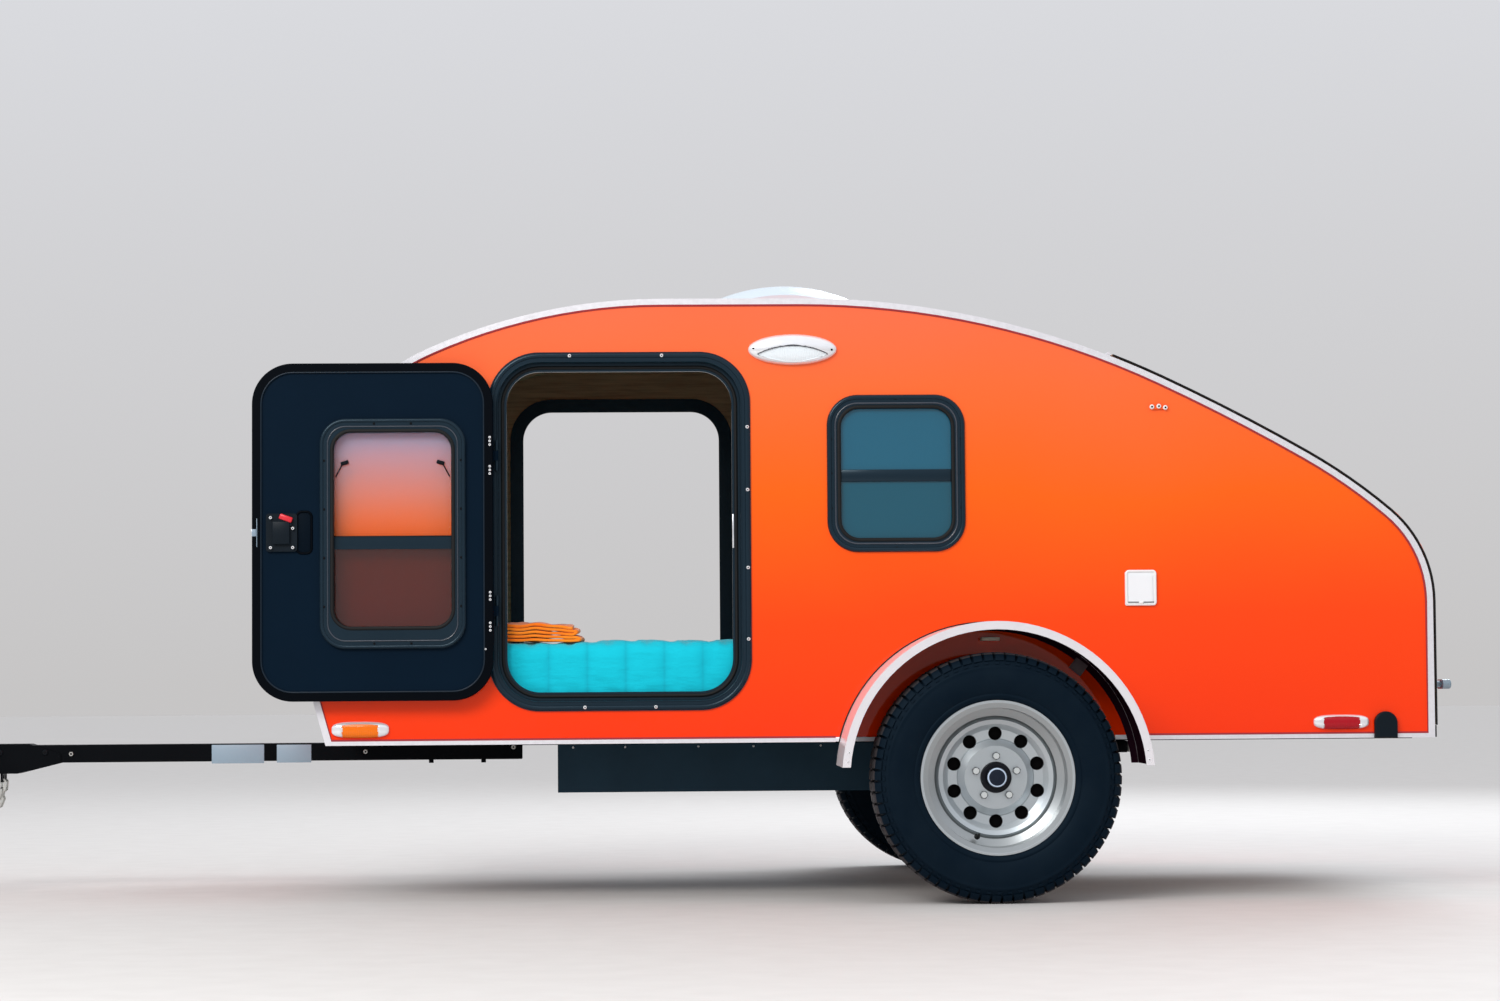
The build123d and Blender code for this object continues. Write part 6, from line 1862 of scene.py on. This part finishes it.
# %% Dark line along the trim
# A rose-dark bead that draws a dark line along the trim's inner edge.
seal_plum = moulded("seal_plum", (0.30, 0.030, 0.036), 0.45, grain=600, relief=0.1, drift=1.2, shine=0.15)
# Section of the bead. Columns: millimetres over the trim's inner edge, distance from the middle.
LINE_SECTION = [(-1.4, 761.8), (3.8, 764.2), (3.8, 764.9), (0.4, 765.1), (-1.4, 764.0)]
TRIM_SIDE = 0.7641       # |Y| of the trim's outer face
TRIM_FOOT = 15           # top of the trim's bottom run
TRIM_WAYS = (-5, 201)    # degrees in which the trim's outline is looked at
TRIM_INSIDE = 0.010      # points this far inside the outline are on the inner edge
TRIM_CENTRE = (0.25, 0.80)
# Stations of the bottom runs: behind the fender to the rear corner, front corner to the fender.
REAR_RUN, FRONT_RUN = (2334, 3128), (132, 1502)
# Columns: name, station, length
SHORT_RUNS = (("front", 1560.0, 118), ("rear", 2300.0, 66))


def trim_edge_path(side):
    """Inner edge of the side trim as (x, z) pairs, from the fender's rear over the roof to its front."""
    points = read_points(nodes["edge_trims"].data)
    on_face = ((points[:, 1] * side) > TRIM_SIDE) & (points[:, 2] > z_at(TRIM_FOOT + 1))
    flat = points[on_face][:, [0, 2]]
    ways = np.radians(np.arange(*TRIM_WAYS))
    reach = flat @ np.array([np.cos(ways), np.sin(ways)])
    inner = flat[(reach.max(axis=0) - reach).min(axis=1) > TRIM_INSIDE]
    path = {}
    for x, z in inner:
        turn = math.degrees(math.atan2(z - TRIM_CENTRE[1], x - TRIM_CENTRE[0]))
        path[round(turn if turn > -90 else turn + 360, 1)] = (float(x), float(z))
    foot = z_at(TRIM_FOOT)
    return ([(x_at(station), foot) for station in REAR_RUN] + [path[turn] for turn in sorted(path)]
            + [(x_at(station), foot) for station in FRONT_RUN])


def trim_edge_line(name, side):
    path = trim_edge_path(side)
    rows = []
    for number, (x, z) in enumerate(path):
        run = along(path, number)
        rows.append([(x + run.y * a * MM, side * y * MM, z - run.x * a * MM)
                     for a, y in LINE_SECTION])
    points, faces = open_strip(rows)
    return mesh_piece(name, points, faces, seal_plum, "body")


for side_name, side in SIDES:
    trim_edge_line(f"trim_seal_{side_name}", side)
    for end, station, long in SHORT_RUNS:
        side_block(f"trim_run_{end}_{side_name}", station, 7.0, (long, 12), (761.8, 763.6), trim_metal,
                   side, "body", "edge_trim", 0.4)
    side_block(f"sill_seal_{side_name}", 3150.6, 17.0, (4.2, 32), (752, 763), seal_rubber, side, "body",
               "frame_black", 0.5)
print("trim path points:", len(trim_edge_path(-1)))

# %% [markdown]
# Last of the small things on the side wall: the porch lamp's hood meets its lens along a dark arched
# seam, the window has a broad bar between its panes, and the white hatch has a raised rim, a shadow
# line and a thumb latch. Three little white lamps sit in a row above it.

# %% Fine trim on the side
# Dark for the lamp's real seam, and for the hatch's painted shadow line.
seam_dark = powder_coat("seam_dark", (0.03, 0.03, 0.04), 0.5)
HATCH_STATION, HATCH_HEIGHT = 2342.5, 415.0
HATCH_FACE = 767.0
DOTS = [(2379.0, 911.5), (2398.0, 913.0), (2416.0, 909.5)]
SEAM_REACH, SEAM_STEP = 96.0, 4.0
SEAM_SUNK = 1.5
# Columns: millimetres along the height, millimetres outward
SEAM_SECTION = ((-1.1, 0), (1.1, 0), (1.1, 2.0), (-1.1, 2.0))


def lamp_seam(name, side):
    """A thin strip on the porch lamp's dome, along the arch where its lens ends."""
    rows = []
    for step in range(1 + round(2 * SEAM_REACH / SEAM_STEP)):
        x = -SEAM_REACH + SEAM_STEP * step
        z = ARCH_TOP - ARCH_FALL * x * x
        share = min(1.0, math.hypot(x / PORCH_SIZE[0], z / PORCH_SIZE[1]))
        up = dome_height(share, PORCH_RISE)
        rows.append([(x_at(PORCH_STATION + x), side * (WALL_FACE + up - SEAM_SUNK + b) * MM,
                      z_at(PORCH_HEIGHT + z + a)) for a, b in SEAM_SECTION])
    points, faces = open_strip(rows)
    return mesh_piece(name, points, faces, seam_dark, "body")


for side_name, side in SIDES:
    lamp_seam(f"porch_seam_{side_name}", side)
    side_block(f"window_bar_{side_name}", WINDOW_STATION, WINDOW_HEIGHT - 6, (306, 33), (758, 763),
               frame_plastic, side, "body", "frame_black", 1.5)
    swept_frame(f"hatch_rim_{side_name}", HATCH_STATION, HATCH_HEIGHT, (79, 91, 7),
                half_round(0, 767.4, 7, 3.0), white_plastic, "body", side)
    # Painted shadow: a dark strip near the hatch's lower edge.
    side_block(f"hatch_shadow_{side_name}", HATCH_STATION, HATCH_HEIGHT - 39, (70, 1.6),
               (HATCH_FACE, HATCH_FACE + 3.6), seam_dark, side, "body", "fitting_white", 0.3)
    side_block(f"hatch_thumb_{side_name}", HATCH_STATION, HATCH_HEIGHT - 41, (13, 6),
               (HATCH_FACE, HATCH_FACE + 5), white_plastic, side, "body", "fitting_white", 1.5)
    screw_heads(f"dot_lamps_{side_name}", side_places(0, 0, DOTS, 769.0, side), 6.8, 3.4, white_plastic,
                "body", "fitting_white")
print("little lamps on a side:", len(DOTS))

# %% [markdown]
